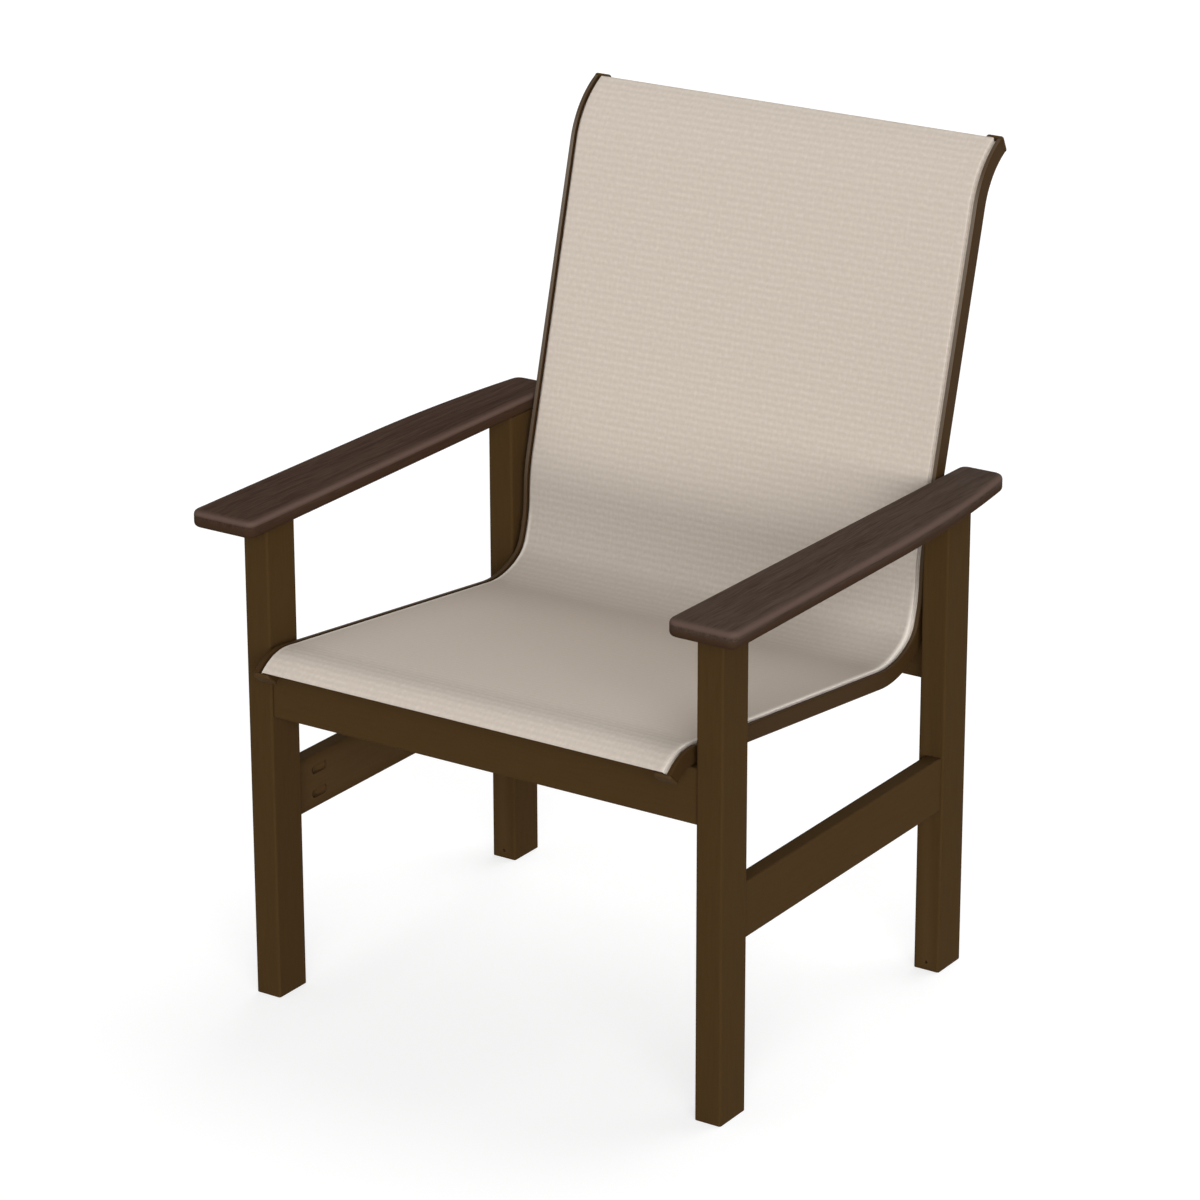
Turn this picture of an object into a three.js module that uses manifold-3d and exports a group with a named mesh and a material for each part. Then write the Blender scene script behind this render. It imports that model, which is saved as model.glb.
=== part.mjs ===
// Sling patio chair: a solid plastic-lumber frame with bent sling rails and a stretched mesh sling.
// Millimetres, +Z up, -Y is the front. The origin is on the floor, under the middle of the chair.
// Left is -X and right is +X, as seen by someone who faces the chair.
import * as THREE from 'three';
import { mergeVertices } from 'three/addons/utils/BufferGeometryUtils.js';
import Module from 'manifold-3d';

const wasm = await Module();
wasm.setup();

// Fits
const CLEARANCE = 0.3; // between pieces that touch
const OVERRUN = 4; // how far a cutting tool runs past the face that it cuts

// Legs
const LEG_SPACING_X = 600; // between leg centres, side to side
const LEG_SPACING_Y = 476; // between leg centres, front to back
const LEG_WIDTH = 33.6;
const LEG_DEPTH = 51.2;
const LEG_HEIGHT = 573.4;
const LEG_EDGE_RADIUS = 3;
const JIG_HOLE_RADIUS = 2; // small blind hole low on the front face of each rear leg
const JIG_HOLE_DEPTH = 8;
const JIG_HOLE_HEIGHT = 10;

// Boards between the legs
const BOARD_HEIGHT = 65.5;
const BOARD_THICKNESS = 21;
const BOARD_EDGE_RADIUS = 2.5;
const STRETCHER_BOTTOM = 204.5;
const STRETCHER_RECESS = 2.6; // behind the outer faces of the legs
const APRON_BELOW_RAILS = 0.5;
const APRON_RECESS = 3; // behind the front faces of the legs
const REAR_RAIL_BELOW_SEAT = 18.9; // top of the rear rail, under the front of the seat
const REAR_RAIL_RECESS = 2.5; // in front of the rear faces of the legs

// Pocket screws, two at each end of each board
const POCKET_SPACING = 29.6; // between the two pockets of one board end
const POCKET_SETBACK = 32.8; // from the board end to the near end of the pocket
const POCKET_LENGTH = 28;
const POCKET_WIDTH = 11;
const POCKET_TILT = THREE.MathUtils.degToRad(10);
const SCREW_SHANK_RADIUS = 2.4;
const SCREW_HEAD_RADIUS = 4.2;
const SCREW_HEAD_HEIGHT = 2.6;
const SCREW_POINT_LENGTH = 4;
const POCKET_SCREW_BITE = 22; // length that holds in the leg

// Arms
const ARM_THICKNESS = 20.6;
const ARM_FRONT_OVERHANG = 42.5; // ahead of the front legs
const ARM_REAR_OVERHANG = 40; // behind the rear legs
const ARM_OUTER_OVERHANG = 40.7; // outside the legs, on the straight part of the outer edge
const ARM_INNER_OVERHANG = 12.2; // inside the legs, at the front end
const ARM_RAIL_GAP = 3.9; // from the sling rail to the inner edge, at the rear end
const ARM_TAPER_START = 28; // where the outer edge begins to curve inwards, behind the middle
const ARM_TAPER_RADIUS = 1860;
const ARM_CORNER_REACH = 13; // rounding of the corners, along each edge
const ARM_EDGE_RADIUS = 6;

// Studs that hold the arms on the legs
const STUD_RADIUS = 4;
const STUD_IN_LEG = 38;
const STUD_IN_ARM = 12;

// Side profile of the sling rails, along the face that carries the fabric
const SEAT_BELOW_ARMS = 139.1; // front of the straight seat run, under the underside of the arms
const SEAT_OVERHANG = 15.3; // front of the straight seat run, ahead of the middle of the front legs
const SEAT_SLOPE = THREE.MathUtils.degToRad(6.3); // fall towards the back
const NOSE_RADIUS = 59.2; // waterfall at the front
const NOSE_TURN = THREE.MathUtils.degToRad(56.6);
const SWEEP_RADIUS = 100.6; // wide curve out of the seat
const SWEEP_TURN = THREE.MathUtils.degToRad(38.2);
const BEND_RADIUS = 34.7; // tight curve between seat and back
const BEND_TURN = THREE.MathUtils.degToRad(37.5);
const RISE_RADIUS = 152; // wide curve into the lower back
const RISE_TURN = THREE.MathUtils.degToRad(19.9);
const LUMBAR_RADIUS = 214; // the other way, at the small of the back
const LUMBAR_TURN = THREE.MathUtils.degToRad(14.2);
const BACK_FOOT = 4.6; // foot of the straight back run, ahead of the middle of the rear legs
const BACK_RUN_LENGTH = 376.2;
const ROLL_RADIUS = 108; // top of the back, rolled rearwards
const ROLL_TURN = THREE.MathUtils.degToRad(49.5);

// Cross-section of the sling rails: "in" is from the outer face, "deep" is from the fabric face
const RAIL_SPACER_LENGTH = 6.2; // between the rail and the inner face of the leg
const RAIL_WIDTH = 20.5;
const RAIL_DEPTH = 20.2;
const RAIL_WALL = 2;
const RAIL_EDGE_RADIUS = 1.2;
const MOUTH_OUTER_IN = 5.3; // mouth of the fabric groove
const MOUTH_INNER_IN = 11;
const GROOVE_CENTRE_IN = 8;
const GROOVE_CENTRE_DEEP = 8;

// Sling, its splines and the rail end caps
const SLING_THICKNESS = 0.9;
const HEM_FROM_END = 6; // from the end of the cap to the edge of the fabric
const SPLINE_RADIUS = 2.4;
const CAP_THICKNESS = 4.8;
const CAP_OVERHANG = 0.8;
const CAP_EDGE_RADIUS = 3.2; // rounding of the outer end
const CAP_SPIGOT_LENGTH = 12;

// Screws and spacers between rails and legs
const RAIL_SCREW_BITE = 24;
const FRONT_SCREW_BACK = 11; // behind the middle of the front leg, clear of the apron
const REAR_SCREW_BELOW_BACK = 12; // upper one, along the rail under the foot of the straight back run
const REAR_SCREW_SPACING = 77;
const SPACER_RADIUS = 7;

// Spreader bars
const SPREADER_RADIUS = 9.5;
const SPREADER_WALL = 1.6;
const SPREADER_BOW = 38;
const SPREADER_STRAIGHT = 28; // straight part at each end
const SEAT_SPREADER_FROM_FRONT = 190; // along the straight seat run
const BACK_SPREADER_FROM_TOP = 60; // along the straight back run
const PLUG_FLANGE_LENGTH = 3;
const PLUG_SPIGOT_LENGTH = 16;
const PLUG_STUB_RADIUS = 2.4;
const PLUG_STUB_LENGTH = 5;

// Numbers of steps on round shapes
const CORNER_STEPS = 3; // in a quarter turn
const POCKET_STEPS = 8; // in a half turn
const ARM_CORNER_STEPS = 4;
const ARM_EDGE_STEPS = 4;
const ARM_TAPER_STEPS = 8;
const HOLE_SIDES = 12;
const SCREW_SIDES = 8;
const SPACER_SIDES = 16;
const SPLINE_SIDES = 8;
const GROOVE_SIDES = 10;
const SPREADER_SIDES = 12;
const SPREADER_STEPS = 16;
const CAP_EDGE_STEPS = 3;
const BEND_STEP = THREE.MathUtils.degToRad(7.5);

// Places that follow from the sizes above
const legX = LEG_SPACING_X / 2;
const legY = LEG_SPACING_Y / 2;
const legInnerX = legX - LEG_WIDTH / 2;
const legOuterX = legX + LEG_WIDTH / 2;
const legInnerY = legY - LEG_DEPTH / 2;
const legOuterY = legY + LEG_DEPTH / 2;
const armUnderside = LEG_HEIGHT + CLEARANCE;
const seatFrontHeight = armUnderside - SEAT_BELOW_ARMS;
const railOuterX = legInnerX - RAIL_SPACER_LENGTH - 2 * CLEARANCE;
const railInnerX = railOuterX - RAIL_WIDTH;
const screwHoleRadius = SCREW_SHANK_RADIUS + 2 * CLEARANCE;
const hemInnerRadius = SPLINE_RADIUS + CLEARANCE;
const hemOuterRadius = hemInnerRadius + SLING_THICKNESS;
const grooveRadius = (hemOuterRadius + CLEARANCE) / Math.cos(Math.PI / GROOVE_SIDES);
const innerLipDeep = CLEARANCE; // the fabric lies on the inner lip, its underside level with the outer one
const chamberTop = GROOVE_CENTRE_DEEP + grooveRadius + RAIL_WALL;
const chamberBottom = RAIL_DEPTH - RAIL_WALL;
const fixingDeep = chamberBottom - PLUG_STUB_RADIUS - CLEARANCE; // of the screws and plugs in the rails

const SIDES = { left: -1, right: 1 };
const ENDS = { front: -1, rear: 1 };
const LEVELS = { lower: -1, upper: 1 };
const FULL_TURN = 2 * Math.PI;

// Finishes
const finishes = {
  frame: { color: '#43321f', roughness: 0.55, metalness: 0 },
  arm: { color: '#463a33', roughness: 0.6, metalness: 0 },
  rail: { color: '#4a3b28', roughness: 0.45, metalness: 0.3 },
  mesh: { color: '#d0c4b7', roughness: 0.85, metalness: 0 },
  plastic: { color: '#33281c', roughness: 0.6, metalness: 0 },
  steel: { color: '#a9aaa8', roughness: 0.35, metalness: 1 },
};

const chair = new THREE.Group();

function addPiece(name, finish, geometry) {
  const mesh = new THREE.Mesh(geometry, new THREE.MeshStandardMaterial(finishes[finish]));
  mesh.name = name;
  chair.add(mesh);
  return mesh;
}

// Puts a mesh that was made along Y at a point, along a direction
function placeAlong(mesh, point, direction) {
  mesh.position.copy(point);
  mesh.quaternion.setFromUnitVectors(new THREE.Vector3(0, 1, 0), direction);
}

// Closed mesh to solid and back, for cutting holes and joining shapes
function toSolid(geometry) {
  const bare = new THREE.BufferGeometry();
  bare.setAttribute('position', geometry.getAttribute('position').clone());
  if (geometry.index) bare.setIndex(geometry.index.clone());
  const merged = mergeVertices(bare);
  const vertProperties = merged.getAttribute('position').array;
  const triVerts = new Uint32Array(merged.index.array);
  return new wasm.Manifold(new wasm.Mesh({ numProp: 3, vertProperties, triVerts }));
}

function toGeometry(solid) {
  const mesh = solid.getMesh();
  const geometry = new THREE.BufferGeometry();
  geometry.setAttribute('position', new THREE.BufferAttribute(mesh.vertProperties, 3));
  geometry.setIndex(new THREE.BufferAttribute(mesh.triVerts, 1));
  const flat = geometry.toNonIndexed();
  flat.computeVertexNormals();
  return flat;
}

function cut(geometry, tools) {
  return toGeometry(tools.reduce((rest, tool) => rest.subtract(toSolid(tool)), toSolid(geometry)));
}

function join(first, second) {
  return toGeometry(toSolid(first).add(toSolid(second)));
}

// Rectangle with rounded corners, centred on a point
function roundedRectangle(width, height, radius, centreX = 0, centreY = 0) {
  const shape = new THREE.Shape();
  const x = width / 2 - radius;
  const y = height / 2 - radius;
  shape.absarc(centreX + x, centreY + y, radius, 0, Math.PI / 2);
  shape.absarc(centreX - x, centreY + y, radius, Math.PI / 2, Math.PI);
  shape.absarc(centreX - x, centreY - y, radius, Math.PI, 1.5 * Math.PI);
  shape.absarc(centreX + x, centreY - y, radius, 1.5 * Math.PI, FULL_TURN);
  return shape;
}

function ring(outerRadius, innerRadius) {
  const shape = new THREE.Shape().absarc(0, 0, outerRadius, 0, FULL_TURN);
  shape.holes.push(new THREE.Path().absarc(0, 0, innerRadius, 0, FULL_TURN, true));
  return shape;
}

// Extrusion without bevel. An arc gets twice as many pieces as curveSegments says.
function extrude(shape, depth, arcSteps) {
  return new THREE.ExtrudeGeometry(shape, { depth, bevelEnabled: false, curveSegments: arcSteps / 2 });
}

// Cylinder that starts at a point and runs along a direction
function rod(start, direction, length, radius) {
  const geometry = new THREE.CylinderGeometry(radius, radius, length, HOLE_SIDES);
  geometry.translate(0, length / 2, 0);
  const turn = new THREE.Quaternion().setFromUnitVectors(new THREE.Vector3(0, 1, 0), direction);
  return geometry.applyQuaternion(turn).translate(start.x, start.y, start.z);
}

// Screw with a pan head, along Y: the head's underside is at zero and the point at the length
function screwGeometry(length) {
  const profile = [
    new THREE.Vector2(0, -SCREW_HEAD_HEIGHT),
    new THREE.Vector2(SCREW_SHANK_RADIUS, -SCREW_HEAD_HEIGHT),
    new THREE.Vector2(SCREW_HEAD_RADIUS, -SCREW_HEAD_HEIGHT / 2),
    new THREE.Vector2(SCREW_HEAD_RADIUS, 0),
    new THREE.Vector2(SCREW_SHANK_RADIUS, 0),
    new THREE.Vector2(SCREW_SHANK_RADIUS, length - SCREW_POINT_LENGTH),
    new THREE.Vector2(0, length),
  ];
  return new THREE.LatheGeometry(profile, SCREW_SIDES);
}

// Side profile of the sling rails: bends and straight runs, from the front end to the top end
const bendSegments = [
  { length: SWEEP_RADIUS * SWEEP_TURN, turn: SWEEP_TURN },
  { length: BEND_RADIUS * BEND_TURN, turn: BEND_TURN },
  { length: RISE_RADIUS * RISE_TURN, turn: RISE_TURN },
  { length: LUMBAR_RADIUS * LUMBAR_TURN, turn: -LUMBAR_TURN },
];
const bendReach = bendSegments.reduce(
  (from, segment) => advance(from, segment, segment.length),
  { y: 0, z: 0, heading: -SEAT_SLOPE },
).y;
const seatRun = (2 * legY + SEAT_OVERHANG - BACK_FOOT - bendReach) / Math.cos(SEAT_SLOPE);
const railSegments = [
  { length: NOSE_RADIUS * NOSE_TURN, turn: -NOSE_TURN },
  { length: seatRun, turn: 0 },
  ...bendSegments,
  { length: BACK_RUN_LENGTH, turn: 0 },
  { length: ROLL_RADIUS * ROLL_TURN, turn: -ROLL_TURN },
];

// Point and heading reached after a distance along a segment that starts at the given point and heading
function advance({ y, z, heading }, { length, turn }, distance) {
  if (turn === 0) {
    return { y: y + distance * Math.cos(heading), z: z + distance * Math.sin(heading), heading };
  }
  const radius = length / turn;
  const end = heading + distance / radius;
  return {
    y: y + radius * (Math.sin(end) - Math.sin(heading)),
    z: z - radius * (Math.cos(end) - Math.cos(heading)),
    heading: end,
  };
}

const seatStart = { y: -legY - SEAT_OVERHANG, z: seatFrontHeight, heading: -SEAT_SLOPE };
const railStart = advance(seatStart, railSegments[0], -railSegments[0].length);
const segmentStarts = [0];
railSegments.forEach((segment, i) => segmentStarts.push(segmentStarts[i] + segment.length));
const seatRunStart = segmentStarts[1];
const [backRunStart, backRunEnd, railLength] = segmentStarts.slice(-3);

function railAt(distance) {
  let from = railStart;
  let i = 0;
  while (i < railSegments.length - 1 && distance > segmentStarts[i + 1]) {
    from = advance(from, railSegments[i], railSegments[i].length);
    i += 1;
  }
  return advance(from, railSegments[i], distance - segmentStarts[i]);
}

// Point of the rail at a distance along it, so far in from its outer face and so deep under its fabric face
function railPoint(side, distance, inwards, deep) {
  const { y, z, heading } = railAt(distance);
  const x = side * (railOuterX - inwards);
  return new THREE.Vector3(x, y + deep * Math.sin(heading), z - deep * Math.cos(heading));
}

// Distance along the seat run at which the line at a given depth passes a given place
function seatDistance(y, deep) {
  return seatRunStart + (y - seatStart.y + deep * Math.sin(SEAT_SLOPE)) / Math.cos(SEAT_SLOPE);
}

// Distances at which a piece swept along the rail has a ring of points
function railStations(from, to) {
  const stations = railSegments.flatMap((segment, i) => {
    const steps = Math.max(1, Math.round(Math.abs(segment.turn) / BEND_STEP));
    return Array.from({ length: steps }, (_, k) => segmentStarts[i] + (segment.length * k) / steps);
  });
  return [from, ...stations.filter((s) => s > from + CLEARANCE && s < to - CLEARANCE), to];
}

// Sweeps a closed outline with holes through stations along the rail. Outline points are (in, deep), and
// reshape may move them at each station.
function sweepOnRail(side, outline, holes, stations, reshape = (point) => point) {
  const clockwise = THREE.ShapeUtils.isClockWise;
  const contour = clockwise(outline) ? [...outline].reverse() : outline;
  const inner = holes.map((hole) => (clockwise(hole) ? hole : [...hole].reverse()));
  const loops = [contour, ...inner];
  const section = loops.flat();
  const rings = stations.map((s) => section.map((point) => {
    const { x, y } = reshape(point, s);
    return railPoint(side, s, x, y);
  }));
  const positions = rings.flat().flatMap((p) => p.toArray());
  const indices = [];
  const face = (a, b, c) => indices.push(...(side > 0 ? [a, b, c] : [a, c, b]));
  const last = (stations.length - 1) * section.length;
  THREE.ShapeUtils.triangulateShape(contour, inner).forEach(([a, b, c]) => {
    face(a, b, c);
    face(last + a, last + c, last + b);
  });
  let loopStart = 0;
  loops.forEach((loop) => {
    for (let k = 0; k < loop.length; k += 1) {
      const p = loopStart + k;
      const q = loopStart + ((k + 1) % loop.length);
      for (let r = 0; r < last; r += section.length) {
        face(r + p, r + section.length + p, r + q);
        face(r + q, r + section.length + p, r + section.length + q);
      }
    }
    loopStart += loop.length;
  });
  const geometry = new THREE.BufferGeometry();
  geometry.setAttribute('position', new THREE.Float32BufferAttribute(positions, 3));
  geometry.setIndex(indices);
  const flat = geometry.toNonIndexed();
  flat.computeVertexNormals();
  return flat;
}

// Points of an arc round the groove's centre
function grooveArc(radius, fromAngle, toAngle, steps) {
  return Array.from({ length: steps + 1 }, (_, k) => {
    const angle = fromAngle + ((toAngle - fromAngle) * k) / steps;
    const inwards = GROOVE_CENTRE_IN + radius * Math.cos(angle);
    return new THREE.Vector2(inwards, GROOVE_CENTRE_DEEP + radius * Math.sin(angle));
  });
}

function grooveCircle(radius, sides) {
  return grooveArc(radius, 0, FULL_TURN, sides).slice(1);
}

// Angle, seen from the groove's centre, at which a circle round it passes a given place in its mouth
function mouthAngle(radius, inwards) {
  return -Math.acos((inwards - GROOVE_CENTRE_IN) / radius);
}

// Places of the boards. "inner" faces look into the chair.
const stretcherMiddleX = legOuterX - STRETCHER_RECESS - BOARD_THICKNESS / 2;
const apronMiddleY = -(legOuterY - APRON_RECESS - BOARD_THICKNESS / 2);
const rearRailMiddleY = legOuterY - REAR_RAIL_RECESS - BOARD_THICKNESS / 2;
const boardEndX = legInnerX - CLEARANCE;
const boardEndY = legInnerY - CLEARANCE;
const apronInnerY = apronMiddleY + BOARD_THICKNESS / 2;
const railOverApron = railPoint(1, seatDistance(apronInnerY, RAIL_DEPTH), 0, RAIL_DEPTH);
const stretcherMiddleZ = STRETCHER_BOTTOM + BOARD_HEIGHT / 2;
const apronMiddleZ = railOverApron.z - APRON_BELOW_RAILS - BOARD_HEIGHT / 2;
const rearRailMiddleZ = seatFrontHeight - REAR_RAIL_BELOW_SEAT - BOARD_HEIGHT / 2;

// Two screws in their pockets at one end of a board. Each leaves the board at mid thickness, tilted away
// from its inner face. end is the middle of the board's end face, out points into the leg, and inner
// points out of the board's inner face.
function pocketScrewPair(name, leg, end, out, inner) {
  const direction = out.clone().addScaledVector(inner, -Math.tan(POCKET_TILT)).normalize();
  const halfWidth = POCKET_WIDTH / 2;
  const headInset = halfWidth - Math.sqrt(halfWidth ** 2 - SCREW_HEAD_RADIUS ** 2) + CLEARANCE;
  return Object.entries(LEVELS).map(([levelName, level]) => {
    const exit = end.clone().add(new THREE.Vector3(0, 0, (level * POCKET_SPACING) / 2));
    const pocket = exit.clone().addScaledVector(direction, -POCKET_SETBACK / Math.cos(POCKET_TILT));
    const seat = pocket.clone().addScaledVector(direction, -headInset);
    const length = seat.distanceTo(exit) + POCKET_SCREW_BITE;
    return { name: `${name}_${levelName}`, leg, direction, inner, pocket, seat, length };
  });
}

const axisX = new THREE.Vector3(1, 0, 0);
const axisY = new THREE.Vector3(0, 1, 0);
const axisZ = new THREE.Vector3(0, 0, 1);
const along = (axis, sign) => axis.clone().multiplyScalar(sign);

function stretcherScrews(sideName) {
  const side = SIDES[sideName];
  return Object.entries(ENDS).flatMap(([endName, end]) => {
    const endFace = new THREE.Vector3(side * stretcherMiddleX, end * boardEndY, stretcherMiddleZ);
    const name = `screw_stretcher_${sideName}_${endName}`;
    return pocketScrewPair(name, `${endName}_${sideName}`, endFace, along(axisY, end), along(axisX, -side));
  });
}

function crossBoardScrews(boardName, endName, y, z) {
  return Object.entries(SIDES).flatMap(([sideName, side]) => {
    const endFace = new THREE.Vector3(side * boardEndX, y, z);
    const inner = along(axisY, -ENDS[endName]);
    return pocketScrewPair(`screw_${boardName}_${sideName}`, `${endName}_${sideName}`, endFace,
      along(axisX, side), inner);
  });
}

const pocketScrews = {
  side_stretcher_left: stretcherScrews('left'),
  side_stretcher_right: stretcherScrews('right'),
  front_apron: crossBoardScrews('apron', 'front', apronMiddleY, apronMiddleZ),
  rear_cross_rail: crossBoardScrews('rear_rail', 'rear', rearRailMiddleY, rearRailMiddleZ),
};

// Screws that hold the sling rails to the legs, driven from inside the chair, each through a spacer
const railScrewPlaces = {
  front: seatDistance(-legY + FRONT_SCREW_BACK, fixingDeep),
  rear_lower: backRunStart - REAR_SCREW_BELOW_BACK - REAR_SCREW_SPACING,
  rear_upper: backRunStart - REAR_SCREW_BELOW_BACK,
};
const railScrewLength = RAIL_WIDTH + RAIL_SPACER_LENGTH + RAIL_SCREW_BITE;
const railScrews = Object.entries(SIDES).flatMap(([sideName, side]) =>
  Object.entries(railScrewPlaces).map(([place, distance]) => ({
    name: `${place}_${sideName}`,
    leg: `${place.split('_')[0]}_${sideName}`,
    side,
    direction: along(axisX, side),
    seat: railPoint(side, distance, RAIL_WIDTH + CLEARANCE, fixingDeep),
    length: railScrewLength,
  })));

// Hole for the shank of a screw, from over its seat to just past its point
function screwHole({ seat, direction, length }) {
  const start = seat.clone().addScaledVector(direction, -CLEARANCE);
  return rod(start, direction, length + 2 * CLEARANCE, screwHoleRadius);
}

// Long recess that the head of a pocket screw sits in. Its floor runs parallel to the screw.
function pocketTool({ direction, inner, pocket }) {
  const halfWidth = POCKET_WIDTH / 2;
  const slot = new THREE.Shape();
  slot.absarc(POCKET_LENGTH - halfWidth, 0, halfWidth, -Math.PI / 2, Math.PI / 2);
  slot.absarc(halfWidth, 0, halfWidth, Math.PI / 2, 1.5 * Math.PI);
  const floor = SCREW_HEAD_RADIUS + CLEARANCE;
  const depth = floor + BOARD_THICKNESS / 2 + OVERRUN;
  const geometry = extrude(slot, depth, POCKET_STEPS).translate(0, 0, -floor);
  const back = direction.clone().negate();
  const outwards = inner.clone().addScaledVector(back, -inner.dot(back)).normalize();
  const across = new THREE.Vector3().crossVectors(outwards, back);
  return geometry.applyMatrix4(new THREE.Matrix4().makeBasis(back, across, outwards).setPosition(pocket));
}

function studHole(x, y) {
  const start = new THREE.Vector3(x, y, LEG_HEIGHT - STUD_IN_LEG - CLEARANCE);
  return rod(start, axisZ, STUD_IN_LEG + STUD_IN_ARM + 3 * CLEARANCE, STUD_RADIUS + 2 * CLEARANCE);
}

// Legs, with a hole for each screw and stud that enters them
for (const [endName, end] of Object.entries(ENDS)) {
  for (const [sideName, side] of Object.entries(SIDES)) {
    const outline = roundedRectangle(LEG_WIDTH, LEG_DEPTH, LEG_EDGE_RADIUS, side * legX, end * legY);
    const screws = [...Object.values(pocketScrews).flat(), ...railScrews];
    const tools = screws.filter(({ leg }) => leg === `${endName}_${sideName}`).map(screwHole);
    tools.push(studHole(side * legX, end * legY));
    if (endName === 'rear') {
      const jig = new THREE.Vector3(side * legX, legInnerY - OVERRUN, JIG_HOLE_HEIGHT);
      tools.push(rod(jig, axisY, OVERRUN + JIG_HOLE_DEPTH, JIG_HOLE_RADIUS));
    }
    addPiece(`leg_${endName}_${sideName}`, 'frame', cut(extrude(outline, LEG_HEIGHT, CORNER_STEPS), tools));
  }
}

// Board with rounded edges, centred on a point, with the pockets and holes of its screws
function boardGeometry(length, lengthAxis, thicknessAxis, centre, screws) {
  const outline = roundedRectangle(BOARD_THICKNESS, BOARD_HEIGHT, BOARD_EDGE_RADIUS);
  const blank = extrude(outline, length, CORNER_STEPS).translate(0, 0, -length / 2);
  blank.applyMatrix4(new THREE.Matrix4().makeBasis(thicknessAxis, axisZ, lengthAxis).setPosition(centre));
  return cut(blank, [...screws.map(pocketTool), ...screws.map(screwHole)]);
}

for (const [sideName, side] of Object.entries(SIDES)) {
  const name = `side_stretcher_${sideName}`;
  const centre = new THREE.Vector3(side * stretcherMiddleX, 0, stretcherMiddleZ);
  const geometry = boardGeometry(2 * boardEndY, along(axisY, -1), axisX, centre, pocketScrews[name]);
  addPiece(name, 'frame', geometry);
}

for (const [name, y, z] of [
  ['front_apron', apronMiddleY, apronMiddleZ],
  ['rear_cross_rail', rearRailMiddleY, rearRailMiddleZ],
]) {
  const centre = new THREE.Vector3(0, y, z);
  addPiece(name, 'frame', boardGeometry(2 * boardEndX, axisX, axisY, centre, pocketScrews[name]));
}

for (const screw of Object.values(pocketScrews).flat()) {
  placeAlong(addPiece(screw.name, 'steel', screwGeometry(screw.length)), screw.seat, screw.direction);
}

// Arms: the outer edge is straight at the front and curves inwards behind, the inner edge is straight
function armOutline(side) {
  const front = -legOuterY - ARM_FRONT_OVERHANG;
  const rear = legOuterY + ARM_REAR_OVERHANG;
  const innerFront = legInnerX - ARM_INNER_OVERHANG;
  const innerRear = railOuterX + ARM_RAIL_GAP;
  const innerAt = (y) => innerFront + ((innerRear - innerFront) * (y - front)) / (rear - front);
  const outerAt = (y) => {
    const past = Math.max(0, y - ARM_TAPER_START);
    return legOuterX + ARM_OUTER_OVERHANG - ARM_TAPER_RADIUS + Math.sqrt(ARM_TAPER_RADIUS ** 2 - past ** 2);
  };
  const reach = ARM_CORNER_REACH;
  const shape = new THREE.Shape();
  shape.moveTo(innerAt(front) + reach, front);
  shape.lineTo(outerAt(front) - reach, front);
  shape.quadraticCurveTo(outerAt(front), front, outerAt(front), front + reach);
  for (let k = 0; k <= ARM_TAPER_STEPS; k += 1) {
    const y = ARM_TAPER_START + ((rear - reach - ARM_TAPER_START) * k) / ARM_TAPER_STEPS;
    shape.lineTo(outerAt(y), y);
  }
  shape.quadraticCurveTo(outerAt(rear), rear, outerAt(rear) - reach, rear);
  shape.lineTo(innerAt(rear) + reach, rear);
  shape.quadraticCurveTo(innerAt(rear), rear, innerAt(rear - reach), rear - reach);
  shape.lineTo(innerAt(front + reach), front + reach);
  shape.quadraticCurveTo(innerAt(front), front, innerAt(front) + reach, front);
  const points = shape.getPoints(ARM_CORNER_STEPS).map((p) => new THREE.Vector2(side * p.x, p.y));
  return new THREE.Shape(points);
}

for (const [sideName, side] of Object.entries(SIDES)) {
  const blank = new THREE.ExtrudeGeometry(armOutline(side), {
    depth: ARM_THICKNESS - 2 * ARM_EDGE_RADIUS,
    bevelThickness: ARM_EDGE_RADIUS,
    bevelSize: ARM_EDGE_RADIUS,
    bevelOffset: -ARM_EDGE_RADIUS,
    bevelSegments: ARM_EDGE_STEPS,
  });
  blank.translate(0, 0, armUnderside + ARM_EDGE_RADIUS);
  const holes = Object.values(ENDS).map((end) => studHole(side * legX, end * legY));
  addPiece(`arm_${sideName}`, 'arm', cut(blank, holes));
}

// Studs, half in the leg and half in the arm
for (const [endName, end] of Object.entries(ENDS)) {
  for (const [sideName, side] of Object.entries(SIDES)) {
    const length = STUD_IN_LEG + STUD_IN_ARM + CLEARANCE;
    const geometry = new THREE.CylinderGeometry(STUD_RADIUS, STUD_RADIUS, length, SCREW_SIDES);
    const centre = new THREE.Vector3(side * legX, end * legY, LEG_HEIGHT - STUD_IN_LEG + length / 2);
    placeAlong(addPiece(`arm_stud_${endName}_${sideName}`, 'steel', geometry), centre, axisZ);
  }
}

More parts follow.
